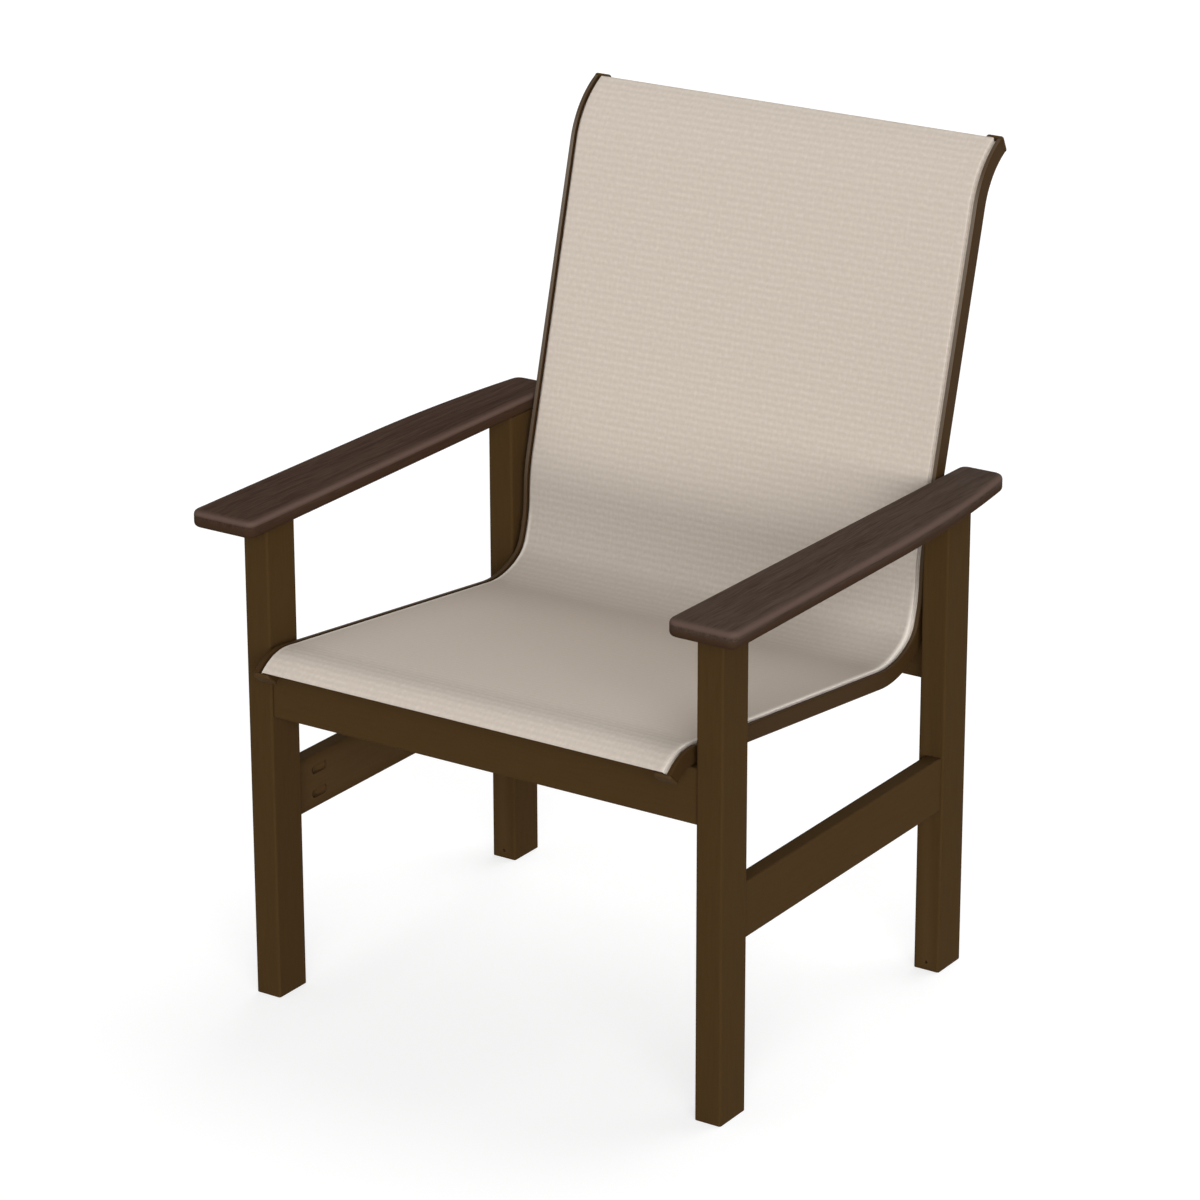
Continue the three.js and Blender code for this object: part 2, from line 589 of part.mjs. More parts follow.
// Sling rails: hollow extrusion with a round groove that opens on its fabric face
const spreaderPlaces = {
  seat: seatRunStart + SEAT_SPREADER_FROM_FRONT,
  back: backRunEnd - BACK_SPREADER_FROM_TOP,
};
const innerLipFrom = mouthAngle(grooveRadius, MOUTH_INNER_IN);
const outerLipTo = mouthAngle(grooveRadius, MOUTH_OUTER_IN) + FULL_TURN;
const railOutline = [
  new THREE.Vector2(MOUTH_OUTER_IN, 0),
  new THREE.Vector2(RAIL_EDGE_RADIUS, 0),
  new THREE.Vector2(0, RAIL_EDGE_RADIUS),
  new THREE.Vector2(0, RAIL_DEPTH - RAIL_EDGE_RADIUS),
  new THREE.Vector2(RAIL_EDGE_RADIUS, RAIL_DEPTH),
  new THREE.Vector2(RAIL_WIDTH - RAIL_EDGE_RADIUS, RAIL_DEPTH),
  new THREE.Vector2(RAIL_WIDTH, RAIL_DEPTH - RAIL_EDGE_RADIUS),
  new THREE.Vector2(RAIL_WIDTH, innerLipDeep + RAIL_EDGE_RADIUS),
  new THREE.Vector2(RAIL_WIDTH - RAIL_EDGE_RADIUS, innerLipDeep),
  new THREE.Vector2(MOUTH_INNER_IN, innerLipDeep),
  ...grooveArc(grooveRadius, innerLipFrom, outerLipTo, GROOVE_SIDES),
];

// Hollow of the rail, beside and under the groove, made smaller all round by an inset
function chamberOutline(inset) {
  const side = GROOVE_CENTRE_IN + grooveRadius + RAIL_WALL;
  return [
    new THREE.Vector2(RAIL_WALL + inset, chamberTop + inset),
    new THREE.Vector2(side + inset, chamberTop + inset),
    new THREE.Vector2(side + inset, innerLipDeep + RAIL_WALL + inset),
    new THREE.Vector2(RAIL_WIDTH - RAIL_WALL - inset, innerLipDeep + RAIL_WALL + inset),
    new THREE.Vector2(RAIL_WIDTH - RAIL_WALL - inset, chamberBottom - inset),
    new THREE.Vector2(RAIL_WALL + inset, chamberBottom - inset),
  ];
}

for (const [sideName, side] of Object.entries(SIDES)) {
  const inset = CAP_THICKNESS + CLEARANCE;
  const stations = railStations(inset, railLength - inset);
  const blank = sweepOnRail(side, railOutline, [chamberOutline(0)], stations);
  const screwHoles = railScrews.filter((screw) => screw.side === side).map(screwHole);
  const plugHoles = Object.values(spreaderPlaces).map((distance) => {
    const start = railPoint(side, distance, RAIL_WIDTH + OVERRUN, fixingDeep);
    const length = OVERRUN + RAIL_WALL + CLEARANCE;
    return rod(start, along(axisX, side), length, PLUG_STUB_RADIUS + 2 * CLEARANCE);
  });
  addPiece(`sling_rail_${sideName}`, 'rail', cut(blank, [...screwHoles, ...plugHoles]));
}

for (const screw of railScrews) {
  const mesh = addPiece(`rail_screw_${screw.name}`, 'steel', screwGeometry(screw.length));
  placeAlong(mesh, screw.seat, screw.direction);
  const spacerGeometry = extrude(ring(SPACER_RADIUS, screwHoleRadius), RAIL_SPACER_LENGTH, SPACER_SIDES);
  const spacer = addPiece(`rail_spacer_${screw.name}`, 'plastic', spacerGeometry.rotateX(-Math.PI / 2));
  const start = new THREE.Vector3(screw.side * (railOuterX + CLEARANCE), screw.seat.y, screw.seat.z);
  placeAlong(spacer, start, screw.direction);
}

// Sling: one sheet from rail to rail, with a hem round the spline in each groove
const fabricInnerIn = MOUTH_INNER_IN - CLEARANCE;
const fabricOuterIn = fabricInnerIn - SLING_THICKNESS;
const hemFrom = mouthAngle(hemOuterRadius, fabricOuterIn) + FULL_TURN;
const hemTo = mouthAngle(hemOuterRadius, fabricInnerIn);
const halfSling = [
  new THREE.Vector2(fabricInnerIn, -SLING_THICKNESS),
  new THREE.Vector2(fabricOuterIn, 0),
  ...grooveArc(hemOuterRadius, hemFrom, hemTo, GROOVE_SIDES),
  new THREE.Vector2(fabricInnerIn, 0),
];
const splineBore = grooveCircle(hemInnerRadius, SPLINE_SIDES);
const otherSide = (points) => points.map((p) => new THREE.Vector2(2 * railOuterX - p.x, p.y));
const slingOutline = [...halfSling, ...otherSide(halfSling).reverse()];
const slingStations = railStations(HEM_FROM_END, railLength - HEM_FROM_END);
const slingHoles = [splineBore, otherSide(splineBore)];
addPiece('sling', 'mesh', sweepOnRail(1, slingOutline, slingHoles, slingStations));
for (const [sideName, side] of Object.entries(SIDES)) {
  const outline = grooveCircle(SPLINE_RADIUS, SPLINE_SIDES);
  addPiece(`sling_spline_${sideName}`, 'plastic', sweepOnRail(side, outline, [], slingStations));
}

// End caps: a block over the end of the rail, rounded at its outer end, and a spigot in the rail's hollow
const capIn = -CAP_OVERHANG;
const capOut = RAIL_WIDTH + CAP_OVERHANG;
const capDeep = RAIL_DEPTH + CAP_OVERHANG;
const capOutline = [
  new THREE.Vector2(capIn + RAIL_EDGE_RADIUS, capIn),
  new THREE.Vector2(capIn, capIn + RAIL_EDGE_RADIUS),
  new THREE.Vector2(capIn, capDeep - RAIL_EDGE_RADIUS),
  new THREE.Vector2(capIn + RAIL_EDGE_RADIUS, capDeep),
  new THREE.Vector2(capOut - RAIL_EDGE_RADIUS, capDeep),
  new THREE.Vector2(capOut, capDeep - RAIL_EDGE_RADIUS),
  new THREE.Vector2(capOut, capIn + RAIL_EDGE_RADIUS),
  new THREE.Vector2(capOut - RAIL_EDGE_RADIUS, capIn),
];
const capMiddle = new THREE.Vector2(RAIL_WIDTH / 2, RAIL_DEPTH / 2);
const capHalf = new THREE.Vector2(capOut, capDeep).sub(capMiddle);
const capPlaces = Array.from({ length: CAP_EDGE_STEPS + 1 }, (_, k) =>
  CAP_EDGE_RADIUS * (1 - Math.cos((k * Math.PI) / (2 * CAP_EDGE_STEPS))));
capPlaces.push(CAP_THICKNESS);

// Draws a point of the cap's outline in where the outer end is rounded
function roundedCap(point, distance) {
  const fromEnd = Math.min(distance, railLength - distance);
  const reach = Math.max(0, CAP_EDGE_RADIUS - fromEnd);
  const inset = CAP_EDGE_RADIUS - Math.sqrt(CAP_EDGE_RADIUS ** 2 - reach ** 2);
  const smaller = capHalf.clone().subScalar(inset).divide(capHalf);
  return point.clone().sub(capMiddle).multiply(smaller).add(capMiddle);
}

const spigotOverlap = CAP_THICKNESS / 2;
const spigotEnd = CAP_THICKNESS + CAP_SPIGOT_LENGTH;
for (const [sideName, side] of Object.entries(SIDES)) {
  for (const [endName, fromFront] of [
    ['front', (distance) => distance],
    ['top', (distance) => railLength - distance],
  ]) {
    const placed = (distances) => distances.map(fromFront).sort((a, b) => a - b);
    addPiece(`rail_cap_${endName}_${sideName}`, 'plastic', join(
      sweepOnRail(side, capOutline, [], placed(capPlaces), roundedCap),
      sweepOnRail(side, chamberOutline(CLEARANCE), [], placed([spigotOverlap, spigotEnd])),
    ));
  }
}

// Spreader bars: tubes that bow away from the fabric, on plugs whose stubs sit in the rails
class BowCurve extends THREE.Curve {
  constructor(halfSpan, straight, bow) {
    super();
    this.halfSpan = halfSpan;
    this.bowedHalf = halfSpan - straight;
    this.bow = bow;
  }

  // A raised cosine between the straight ends, furthest from the fabric in the middle
  getPoint(t, target = new THREE.Vector3()) {
    const x = this.halfSpan * (2 * t - 1);
    const turn = Math.PI * Math.min(1, Math.abs(x) / this.bowedHalf);
    return target.set(x, 0, (-this.bow * (1 + Math.cos(turn))) / 2);
  }
}

const plugSeatX = railInnerX - CLEARANCE;
const spreaderHalfSpan = plugSeatX - PLUG_FLANGE_LENGTH - CLEARANCE;
const spreaderBore = SPREADER_RADIUS - SPREADER_WALL;
const plugRadius = spreaderBore * Math.cos(Math.PI / SPREADER_SIDES) - 2 * CLEARANCE;
const plugEnd = -PLUG_FLANGE_LENGTH - PLUG_SPIGOT_LENGTH;
const plugProfile = [
  new THREE.Vector2(0, plugEnd),
  new THREE.Vector2(plugRadius, plugEnd),
  new THREE.Vector2(plugRadius, -PLUG_FLANGE_LENGTH),
  new THREE.Vector2(SPREADER_RADIUS, -PLUG_FLANGE_LENGTH),
  new THREE.Vector2(SPREADER_RADIUS, 0),
  new THREE.Vector2(PLUG_STUB_RADIUS, 0),
  new THREE.Vector2(PLUG_STUB_RADIUS, PLUG_STUB_LENGTH),
  new THREE.Vector2(0, PLUG_STUB_LENGTH),
];

for (const [placeName, distance] of Object.entries(spreaderPlaces)) {
  const tube = new THREE.ExtrudeGeometry(ring(SPREADER_RADIUS, spreaderBore), {
    steps: SPREADER_STEPS,
    curveSegments: SPREADER_SIDES / 2,
    extrudePath: new BowCurve(spreaderHalfSpan, SPREADER_STRAIGHT, SPREADER_BOW),
  });
  const bar = addPiece(`${placeName}_spreader_bar`, 'rail', tube);
  bar.position.copy(railPoint(1, distance, railOuterX, fixingDeep));
  bar.rotation.x = railAt(distance).heading;
  for (const [sideName, side] of Object.entries(SIDES)) {
    const plugGeometry = new THREE.LatheGeometry(plugProfile, SPREADER_SIDES);
    const plug = addPiece(`spreader_plug_${placeName}_${sideName}`, 'plastic', plugGeometry);
    const seat = new THREE.Vector3(side * plugSeatX, bar.position.y, bar.position.z);
    placeAlong(plug, seat, along(axisX, side));
  }
}

// The origin goes to the floor under the middle of the whole chair
const extent = new THREE.Box3().setFromObject(chair);
const middle = extent.getCenter(new THREE.Vector3());
chair.position.set(-middle.x, -middle.y, -extent.min.z);

export default chair;
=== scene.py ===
import math

import bpy
import numpy as np
from mathutils.geometry import tessellate_polygon
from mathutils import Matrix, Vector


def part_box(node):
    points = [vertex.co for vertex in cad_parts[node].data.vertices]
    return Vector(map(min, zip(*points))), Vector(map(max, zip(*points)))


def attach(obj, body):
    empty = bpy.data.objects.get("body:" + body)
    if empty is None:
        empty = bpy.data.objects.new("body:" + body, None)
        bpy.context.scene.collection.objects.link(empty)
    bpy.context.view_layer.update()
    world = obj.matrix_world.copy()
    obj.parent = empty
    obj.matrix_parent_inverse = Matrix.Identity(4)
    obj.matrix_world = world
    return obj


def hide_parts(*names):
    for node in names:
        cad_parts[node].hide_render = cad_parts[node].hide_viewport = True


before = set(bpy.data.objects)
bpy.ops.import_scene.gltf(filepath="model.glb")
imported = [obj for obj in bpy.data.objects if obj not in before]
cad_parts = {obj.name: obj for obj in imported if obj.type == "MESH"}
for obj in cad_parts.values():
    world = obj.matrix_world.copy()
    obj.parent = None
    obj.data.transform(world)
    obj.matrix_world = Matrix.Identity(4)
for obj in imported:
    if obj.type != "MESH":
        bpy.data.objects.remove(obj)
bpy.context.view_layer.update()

# Legs: four upright posts of solid plastic lumber. Recycled polyethylene is pressed through a die that
# rounds the long edges, then sawn to length. The rear legs have a small blind hole low in front, read
# from a mark in the photograph, as if a drilling jig had held them there.

sides = (("left", -1), ("right", 1))
sharp_angle = math.radians(35)  # an edge that turns more than this is shown sharp


def hex_colour(text):
    """sRGB hex to linear: a channel c is c/12.92 when small, and ((c + 0.055)/1.055) to the power 2.4 when not."""
    c = np.array([int(text[i:i + 2], 16) / 255 for i in (1, 3, 5)])
    c = np.where(c <= 0.04045, c / 12.92, ((c + 0.055) / 1.055) ** 2.4)
    return (*c.tolist(), 1.0)


def add_node(tree, kind, settings=(), links=()):
    """One shader node: settings are (property or input, value), links are (input, socket that feeds it)."""
    made = tree.nodes.new(kind)
    for key, value in settings:
        if isinstance(key, str) and hasattr(made, key):
            setattr(made, key, value)
        else:
            made.inputs[key].default_value = value
    for key, socket in links:
        tree.links.new(socket, made.inputs[key])
    return made


def noise(tree, place, scale, detail, **more):
    """Noise with so many cells to a metre, or one number for each axis, and so many finer octaves: its outputs."""
    if not np.isscalar(scale):
        place = add_node(tree, "ShaderNodeMapping", [("Scale", scale)], [("Vector", place)]).outputs[0]
        scale = 1.0
    settings = [("Scale", scale), ("Detail", detail), *more.items()]
    return add_node(tree, "ShaderNodeTexNoise", settings, [("Vector", place)]).outputs


def worked_out(tree, operation, *terms):
    """Shader arithmetic. The terms are numbers or sockets, in the order of the node's inputs."""
    numbers = [(k, term) for k, term in enumerate(terms) if isinstance(term, (int, float))]
    sockets = [(k, term) for k, term in enumerate(terms) if not isinstance(term, (int, float))]
    return add_node(tree, "ShaderNodeMath", [("operation", operation), *numbers], sockets).outputs[0]


def spread_out(tree, value, **limits):
    """A value mapped in a straight line from one range to another, each 0 to 1 unless its limits are given."""
    settings = [(key.replace("_", " "), limit) for key, limit in limits.items()]
    return add_node(tree, "ShaderNodeMapRange", settings, [("Value", value)]).outputs[0]


def mixed(tree, share, low, high, blend="MIX"):
    """Colour between two others, each a hex text or a socket, by a share from 0 to 1."""
    ends = ((6, low), (7, high))
    texts = [(k, hex_colour(end)) for k, end in ends if isinstance(end, str)]
    sockets = [(k, end) for k, end in ends if not isinstance(end, str)]
    return add_node(tree, "ShaderNodeMix", [("data_type", "RGBA"), ("blend_type", blend), *texts],
                    [(0, share), *sockets]).outputs[2]


def kept_share(tree, layer):
    """What keep_shares has kept on a mesh's points, for its shader."""
    return add_node(tree, "ShaderNodeAttribute", [("attribute_name", layer)]).outputs["Fac"]


def keep_shares(mesh, layer, values):
    """Keeps one share for each point of a mesh as an attribute."""
    mesh.attributes.new(layer, "FLOAT", "POINT").data.foreach_set("value", values.ravel())


def new_finish(name, colour, roughness, **sockets):
    """A material with one Principled shader, its even values set on the shader's own sockets."""
    finish = bpy.data.materials.new(name)
    finish.use_nodes = True
    tree = finish.node_tree
    shader = tree.nodes["Principled BSDF"]
    shader.inputs["Base Color"].default_value = hex_colour(colour)
    shader.inputs["Roughness"].default_value = roughness
    for key, value in sockets.items():
        shader.inputs[key.replace("_", " ")].default_value = value
    finish.diffuse_color = hex_colour(colour)
    return finish, tree, shader


def dress(tree, shader, colour, height, strength, distance):
    """Leads a colour into a shader, and a height as bump of so much strength over a distance."""
    tree.links.new(colour, shader.inputs["Base Color"])
    bump = add_node(tree, "ShaderNodeBump", [("Strength", strength), ("Distance", distance)], [("Height", height)])
    tree.links.new(bump.outputs[0], shader.inputs["Normal"])


def plastic_lumber(name, streaks, colour, dark, corner):
    """Extruded and sawn polyethylene lumber, coloured through. The die leaves faint streaks along the board and the
    melt a fine mottle, so it looks matt and almost even. The rounded long edges are a little darker: painted shade."""
    finish, tree, shader = new_finish(name, colour, 0.7, IOR=1.52, Specular_IOR_Level=0.02)
    place = add_node(tree, "ShaderNodeTexCoord").outputs["Object"]
    streak = noise(tree, place, streaks, 3.0, Roughness=0.6)["Fac"]
    mottle = noise(tree, place, 260.0, 2.0)["Fac"]
    cloud = worked_out(tree, "MULTIPLY_ADD", mottle, 0.35, streak)
    body = mixed(tree, spread_out(tree, cloud, From_Min=0.45, From_Max=0.95), dark, colour)
    # Painted shade: the rounded long edges darken towards the corner colour, along the streaks
    painted_edge_shade = worked_out(tree, "MULTIPLY", kept_share(tree, "painted_edge_shade"), streak)
    dress(tree, shader, mixed(tree, painted_edge_shade, body, corner), cloud, 0.08, 0.0002)
    return finish


def box_of(node):
    """Lowest and highest corner of a CAD node's box, as arrays."""
    return tuple(np.array(corner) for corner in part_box(node))


def softened(corners, radius, steps=6, guard=0.0006):
    """Polygon with rounded corners: each corner becomes the arc that touches both its sides, with one more point
    on each side a guard's length away, which keeps the flats flat. Rows are corners, columns their points."""
    p = np.asarray(corners, float)
    r = np.broadcast_to(np.asarray(radius, float), len(p))[:, None]
    back, on = np.roll(p, 1, 0) - p, np.roll(p, -1, 0) - p
    back /= np.linalg.norm(back, axis=1, keepdims=True)
    on /= np.linalg.norm(on, axis=1, keepdims=True)
    opening = np.arccos(np.clip((back * on).sum(1, keepdims=True), -1, 1))
    reach = r / np.tan(opening / 2)
    middle = p + (back + on) / np.linalg.norm(back + on, axis=1, keepdims=True) * r / np.sin(opening / 2)
    start = p + back * reach - middle
    turn = np.linspace(0, 1, steps + 1)[None, :, None] * (math.pi - opening)[:, None, :]
    arc = middle[:, None] + start[:, None] * np.cos(turn) - back[:, None] * r[:, None] * np.sin(turn)
    before, after = p + back * (reach + guard), p + on * (reach + guard)
    return np.concatenate([before[:, None], arc, after[:, None]], 1)


def box_outline(width, depth, radius):
    """Rounded rectangle round the origin, as one row of points."""
    x, y = width / 2, depth / 2
    return softened([(-x, -y), (x, -y), (x, y), (-x, y)], radius).reshape(-1, 2)


def quads_between(index):
    """Four-sided faces between neighbours in a grid of point numbers."""
    return np.stack([index[:-1, :-1], index[1:, :-1], index[1:, 1:], index[:-1, 1:]], -1).reshape(-1, 4)


def shell(grid, loop=False):
    """Closed skin over a grid of points whose columns go round: four-sided faces between neighbours, and a lid at
    each end unless the rows close into a loop. It is turned over if its enclosed volume comes out negative."""
    rows, columns = grid.shape[:2]
    points = grid.reshape(-1, 3)
    index = np.arange(rows * columns).reshape(rows, columns)
    wrapped = np.hstack([index, index[:, :1]])
    if loop:
        wrapped = np.vstack([wrapped, wrapped[:1]])
    quads = quads_between(wrapped)
    lids = [] if loop else [index[0], index[-1, ::-1]]
    fans = [np.stack([np.full(columns - 2, lid[0]), lid[1:-1], lid[2:]], 1) for lid in lids]
    triangles = np.vstack([quads[:, [0, 1, 2]], quads[:, [0, 2, 3]], *fans])
    a, b, c = (points[triangles[:, k]] - points.mean(0) for k in range(3))
    outwards = 1 if (a * np.cross(b, c)).sum() > 0 else -1
    return points, [face[::outwards].tolist() for face in [*quads, *lids]]


def add_object(name, data):
    """An object in the scene for a mesh, a lamp or a camera."""
    made = bpy.data.objects.new(name, data)
    bpy.context.scene.collection.objects.link(made)
    return made


def add_piece(name, shells, finish, nodes):
    """One mesh from one or more skins, smooth but for its sharp edges, in place of CAD nodes."""
    points, faces, first = [], [], 0
    for skin_points, skin_faces in shells:
        points.append(skin_points)
        faces += [[first + k for k in face] for face in skin_faces]
        first += len(skin_points)
    mesh = bpy.data.meshes.new(name)
    mesh.from_pydata(np.vstack(points).tolist(), [], faces)
    mesh.shade_smooth()
    mesh.set_sharp_from_angle(angle=sharp_angle)
    mesh.materials.append(finish)
    piece = add_object(name, mesh)
    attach(piece, "root")
    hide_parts(*nodes)
    return piece


def bar_grid(width, depth, length, radius, saw_radius=0.0008):
    """Rounded rectangle carried along a straight line. Near both ends the outline draws in by the saw radius times
    (1 - sine) while it moves by the radius times (1 - cosine). Columns are (across, across, along)."""
    turn = np.linspace(0, math.pi / 2, 4)
    inset = np.concatenate([[2 * saw_radius], saw_radius * (1 - np.sin(turn)), [0]])
    along = np.concatenate([[0], saw_radius * (1 - np.cos(turn)), [2 * saw_radius]])
    inset, along = np.concatenate([inset, inset[::-1]]), np.concatenate([along, length - along[::-1]])
    rings = [box_outline(width - 2 * d, depth - 2 * d, radius - d) for d in inset]
    return np.concatenate([np.array(rings), np.broadcast_to(along[:, None, None], (len(along), len(rings[0]), 1))], 2)


def carve(piece, cutters, finish):
    """Takes the cutters out of a piece with an exact mesh difference, and keeps the result as its plain mesh."""
    for k, (points, faces) in enumerate(cutters):
        mesh = bpy.data.meshes.new(f"cutter_{k}")
        mesh.from_pydata(points.tolist(), [], faces)
        mesh.materials.append(finish)
        tool = add_object(f"cutter_{k}", mesh)
        cut = piece.modifiers.new("cut", "BOOLEAN")
        cut.operation, cut.solver, cut.object = "DIFFERENCE", "EXACT", tool
        bpy.context.view_layer.update()
        carved = bpy.data.meshes.new_from_object(piece.evaluated_get(bpy.context.evaluated_depsgraph_get()))
        piece.modifiers.clear()
        old, piece.data = piece.data, carved
        bpy.data.objects.remove(tool)
        bpy.data.meshes.remove(mesh)
        name = old.name
        bpy.data.meshes.remove(old)
        carved.name = name
    piece.data.shade_smooth()
    piece.data.set_sharp_from_angle(angle=sharp_angle)


def mark_corner_shade(piece, centre, size, radius):
    """Painted shade for the rounded long edges, kept as an attribute: 1 in the middle of a rounded long edge, 0 on
    the flats. It is the smaller of the two depths into the corner, each taken as a share of the radius, times 2.4 and
    at most 1."""
    points = np.zeros(len(piece.data.vertices) * 3)
    piece.data.vertices.foreach_get("co", points)
    from_face = np.array(size) / 2 - np.abs(points.reshape(-1, 3) - np.array(centre))
    into = np.sort(np.clip(1 - from_face / radius, 0, 1), axis=1)
    keep_shares(piece.data, "painted_edge_shade", np.clip(2.4 * into[:, 1], 0, 1))


def turned(profile, start, direction, sides_round, lobes=None):
    """Profile of (radius, distance along) turned round an axis through a point. With lobes, each radius also swells
    and shrinks six times in a turn by its own share of itself."""
    profile, direction = np.asarray(profile, float), np.asarray(direction, float)
    direction /= np.linalg.norm(direction)
    across = np.cross(direction, [0, 0, 1] if abs(direction[2]) < 0.9 else [0, 1, 0])
    across /= np.linalg.norm(across)
    other = np.cross(direction, across)
    angle = np.linspace(0, 2 * math.pi, sides_round, endpoint=False)
    swell = 1 + np.outer(np.zeros(len(profile)) if lobes is None else lobes, np.cos(6 * angle))
    round_axis = np.cos(angle)[:, None] * across + np.sin(angle)[:, None] * other
    rings = (profile[:, :1] * swell)[:, :, None] * round_axis
    return np.asarray(start) + rings + profile[:, 1:, None] * direction


# Streaks: 2.5 mm wide and 40 mm long, real ones are finer, drawn as coarse as the render can show.
# Colours: body, darker body, and the painted shade on the rounded long edges
lumber_colours = "#4d3a23", "#49361f", "#3c2b14"
upright_lumber = plastic_lumber("Extruded plastic lumber, upright", (400, 400, 25), *lumber_colours)
leg_names = [f"leg_{end}_{side}" for end in ("front", "rear") for side in ("left", "right")]
leg_boxes = {name: box_of(name) for name in leg_names}
leg_radius = 0.003
jig_radius, jig_depth, jig_height, jig_overrun = 0.002, 0.008, 0.010, 0.004
for name, (low, high) in leg_boxes.items():
    size, centre = high - low, (low + high) / 2
    grid = bar_grid(size[0], size[1], size[2], leg_radius) + [centre[0], centre[1], low[2]]
    leg = add_piece(f"{name}_post", [shell(grid)], upright_lumber, [name])
    if "rear" in name:
        jig_hole = turned([(jig_radius, -jig_overrun), (jig_radius, jig_depth)], (centre[0], low[1], jig_height),
                          (0, 1, 0), 24)
        carve(leg, [shell(jig_hole)], upright_lumber)
    mark_corner_shade(leg, centre, size, leg_radius)

# Boards: a side stretcher on each side, the front apron under the nose of the sling and the rear cross
# rail. All four are the same plastic lumber board, with two pockets routed into each end of the inner
# face for the screws that pull them against the legs.

pocket_spacing, pocket_start, pocket_half_width = 0.0296, 0.0328, 0.0055


def pocket_places(end, out, inner):
    """The two pockets at a board's end. Each screw leaves the end face at mid thickness, tilted 10 degrees away from
    the inner face; its pocket starts 32.8 mm back from the end."""
    tilt = math.radians(10)
    direction = np.array(out) - np.array(inner) * math.tan(tilt)
    direction /= np.linalg.norm(direction)
    outwards = np.array(inner) - direction * np.dot(inner, direction)
    outwards /= np.linalg.norm(outwards)
    for level in (-1, 1):
        leaves = np.array(end) + [0, 0, level * pocket_spacing / 2]
        yield {"direction": direction, "outwards": outwards, "leaves": leaves,
               "start": leaves - direction * pocket_start / math.cos(tilt)}


def pocket_cutter(direction, outwards, start, **_):
    """Slot 28 mm long and 11 mm wide with half-round ends. Its floor is half an ellipse, 4.5 mm under the screw's
    axis, and its walls go straight out past the board's face."""
    half, length, deep, top = pocket_half_width, 0.028, 0.0045, 0.016
    turn = np.linspace(0.02, math.pi / 2, 9)
    near, far = half * (1 - np.cos(turn)), length - half * (1 - np.cos(turn[::-1]))
    along = np.concatenate([near, far])
    width = np.concatenate([half * np.sin(turn), half * np.sin(turn[::-1])])
    round_floor = np.linspace(0, math.pi, 13)
    across = width[:, None] * np.cos(round_floor)
    height = -deep * np.sqrt(np.clip(1 - (across / half) ** 2, 0, 1))
    across = np.hstack([across, -width[:, None], width[:, None]])
    height = np.hstack([height, np.full((len(along), 2), top)])
    side = np.cross(outwards, -direction)
    return shell(start - along[:, None, None] * direction + across[:, :, None] * side + height[:, :, None] * outwards)


crosswise_lumber = plastic_lumber("Extruded plastic lumber, crosswise", (25, 400, 400), *lumber_colours)
lengthwise_lumber = plastic_lumber("Extruded plastic lumber, lengthwise", (400, 25, 400), *lumber_colours)
board_radius = 0.0025
pocket_screws = {}
for name, along_axis, inner, screw in [
    ("side_stretcher_left", 1, (1, 0, 0), "stretcher_left"),
    ("side_stretcher_right", 1, (-1, 0, 0), "stretcher_right"),
    ("front_apron", 0, (0, 1, 0), "apron"),
    ("rear_cross_rail", 0, (0, -1, 0), "rear_rail"),
]:
    low, high = box_of(name)
    size, centre = high - low, (low + high) / 2
    bar = bar_grid(size[1 - along_axis], size[2], size[along_axis], board_radius)
    bar[:, :, 2] -= size[along_axis] / 2
    grid = bar[:, :, [0, 2, 1] if along_axis else [2, 0, 1]] + centre
    finish = lengthwise_lumber if along_axis else crosswise_lumber
    board = add_piece(f"{name}_board", [shell(grid)], finish, [name])
    pockets = []
    for sign, end_name in zip((-1, 1), ("front", "rear") if along_axis else ("left", "right")):
        out = np.eye(3)[along_axis] * sign
        places = list(pocket_places(centre + out * size[along_axis] / 2, out, inner))
        pockets += places
        for level, place in zip(("lower", "upper"), places):
            pocket_screws[f"screw_{screw}_{end_name}_{level}"] = place
    carve(board, [pocket_cutter(**place) for place in pockets], finish)
    mark_corner_shade(board, centre, size, board_radius)

# Pocket screws: stainless steel with a pan head and a six-lobe drive, driven through each pocket into
# the leg. Only the heads show, low in their pockets, coated brown like the boards.

head_radius, pocket_screw_bite, slight_gap = 0.0042, 0.022, 0.0003


def screw_grid(seat, direction, length):
    """Screw turned round its axis: floor of the drive, its lobed wall, domed head, flat underside at the seat, shank
    and point."""
    profile = [(0.0003, -0.0010), (0.0016, -0.0010), (0.0017, -0.0024), (0.0022, -0.0026), (0.0031, -0.0024),
               (0.0038, -0.0019), (0.0041, -0.0012), (head_radius, -0.0005), (head_radius, 0), (0.0024, 0),
               (0.0024, length - 0.004), (0.0002, length)]
    lobes = [0, 0.13, 0.13, 0, 0, 0, 0, 0, 0, 0, 0, 0]
    return turned(profile, seat, direction, 36, lobes)


def screw_steel(name, colour, metal, smooth, rough):
    """Cold-headed stainless steel, tumbled after rolling: satin, with a fine grit that blurs what it reflects. With
    the brown coat that hides a screw in the lumber, it is a matt paint with the same grit."""
    finish, tree, shader = new_finish(name, colour, rough, Metallic=metal, Specular_IOR_Level=0.5 if metal else 0.05)
    place = add_node(tree, "ShaderNodeTexCoord").outputs["Object"]
    grit = noise(tree, place, 1500.0, 2.0)["Fac"]
    tree.links.new(spread_out(tree, grit, To_Min=smooth, To_Max=rough), shader.inputs["Roughness"])
    return finish


steel = screw_steel("Tumbled stainless steel", "#b9b8b5", 1.0, 0.26, 0.42)
coated_steel = screw_steel("Stainless steel with a brown coat", "#3a2b18", 0.0, 0.45, 0.6)
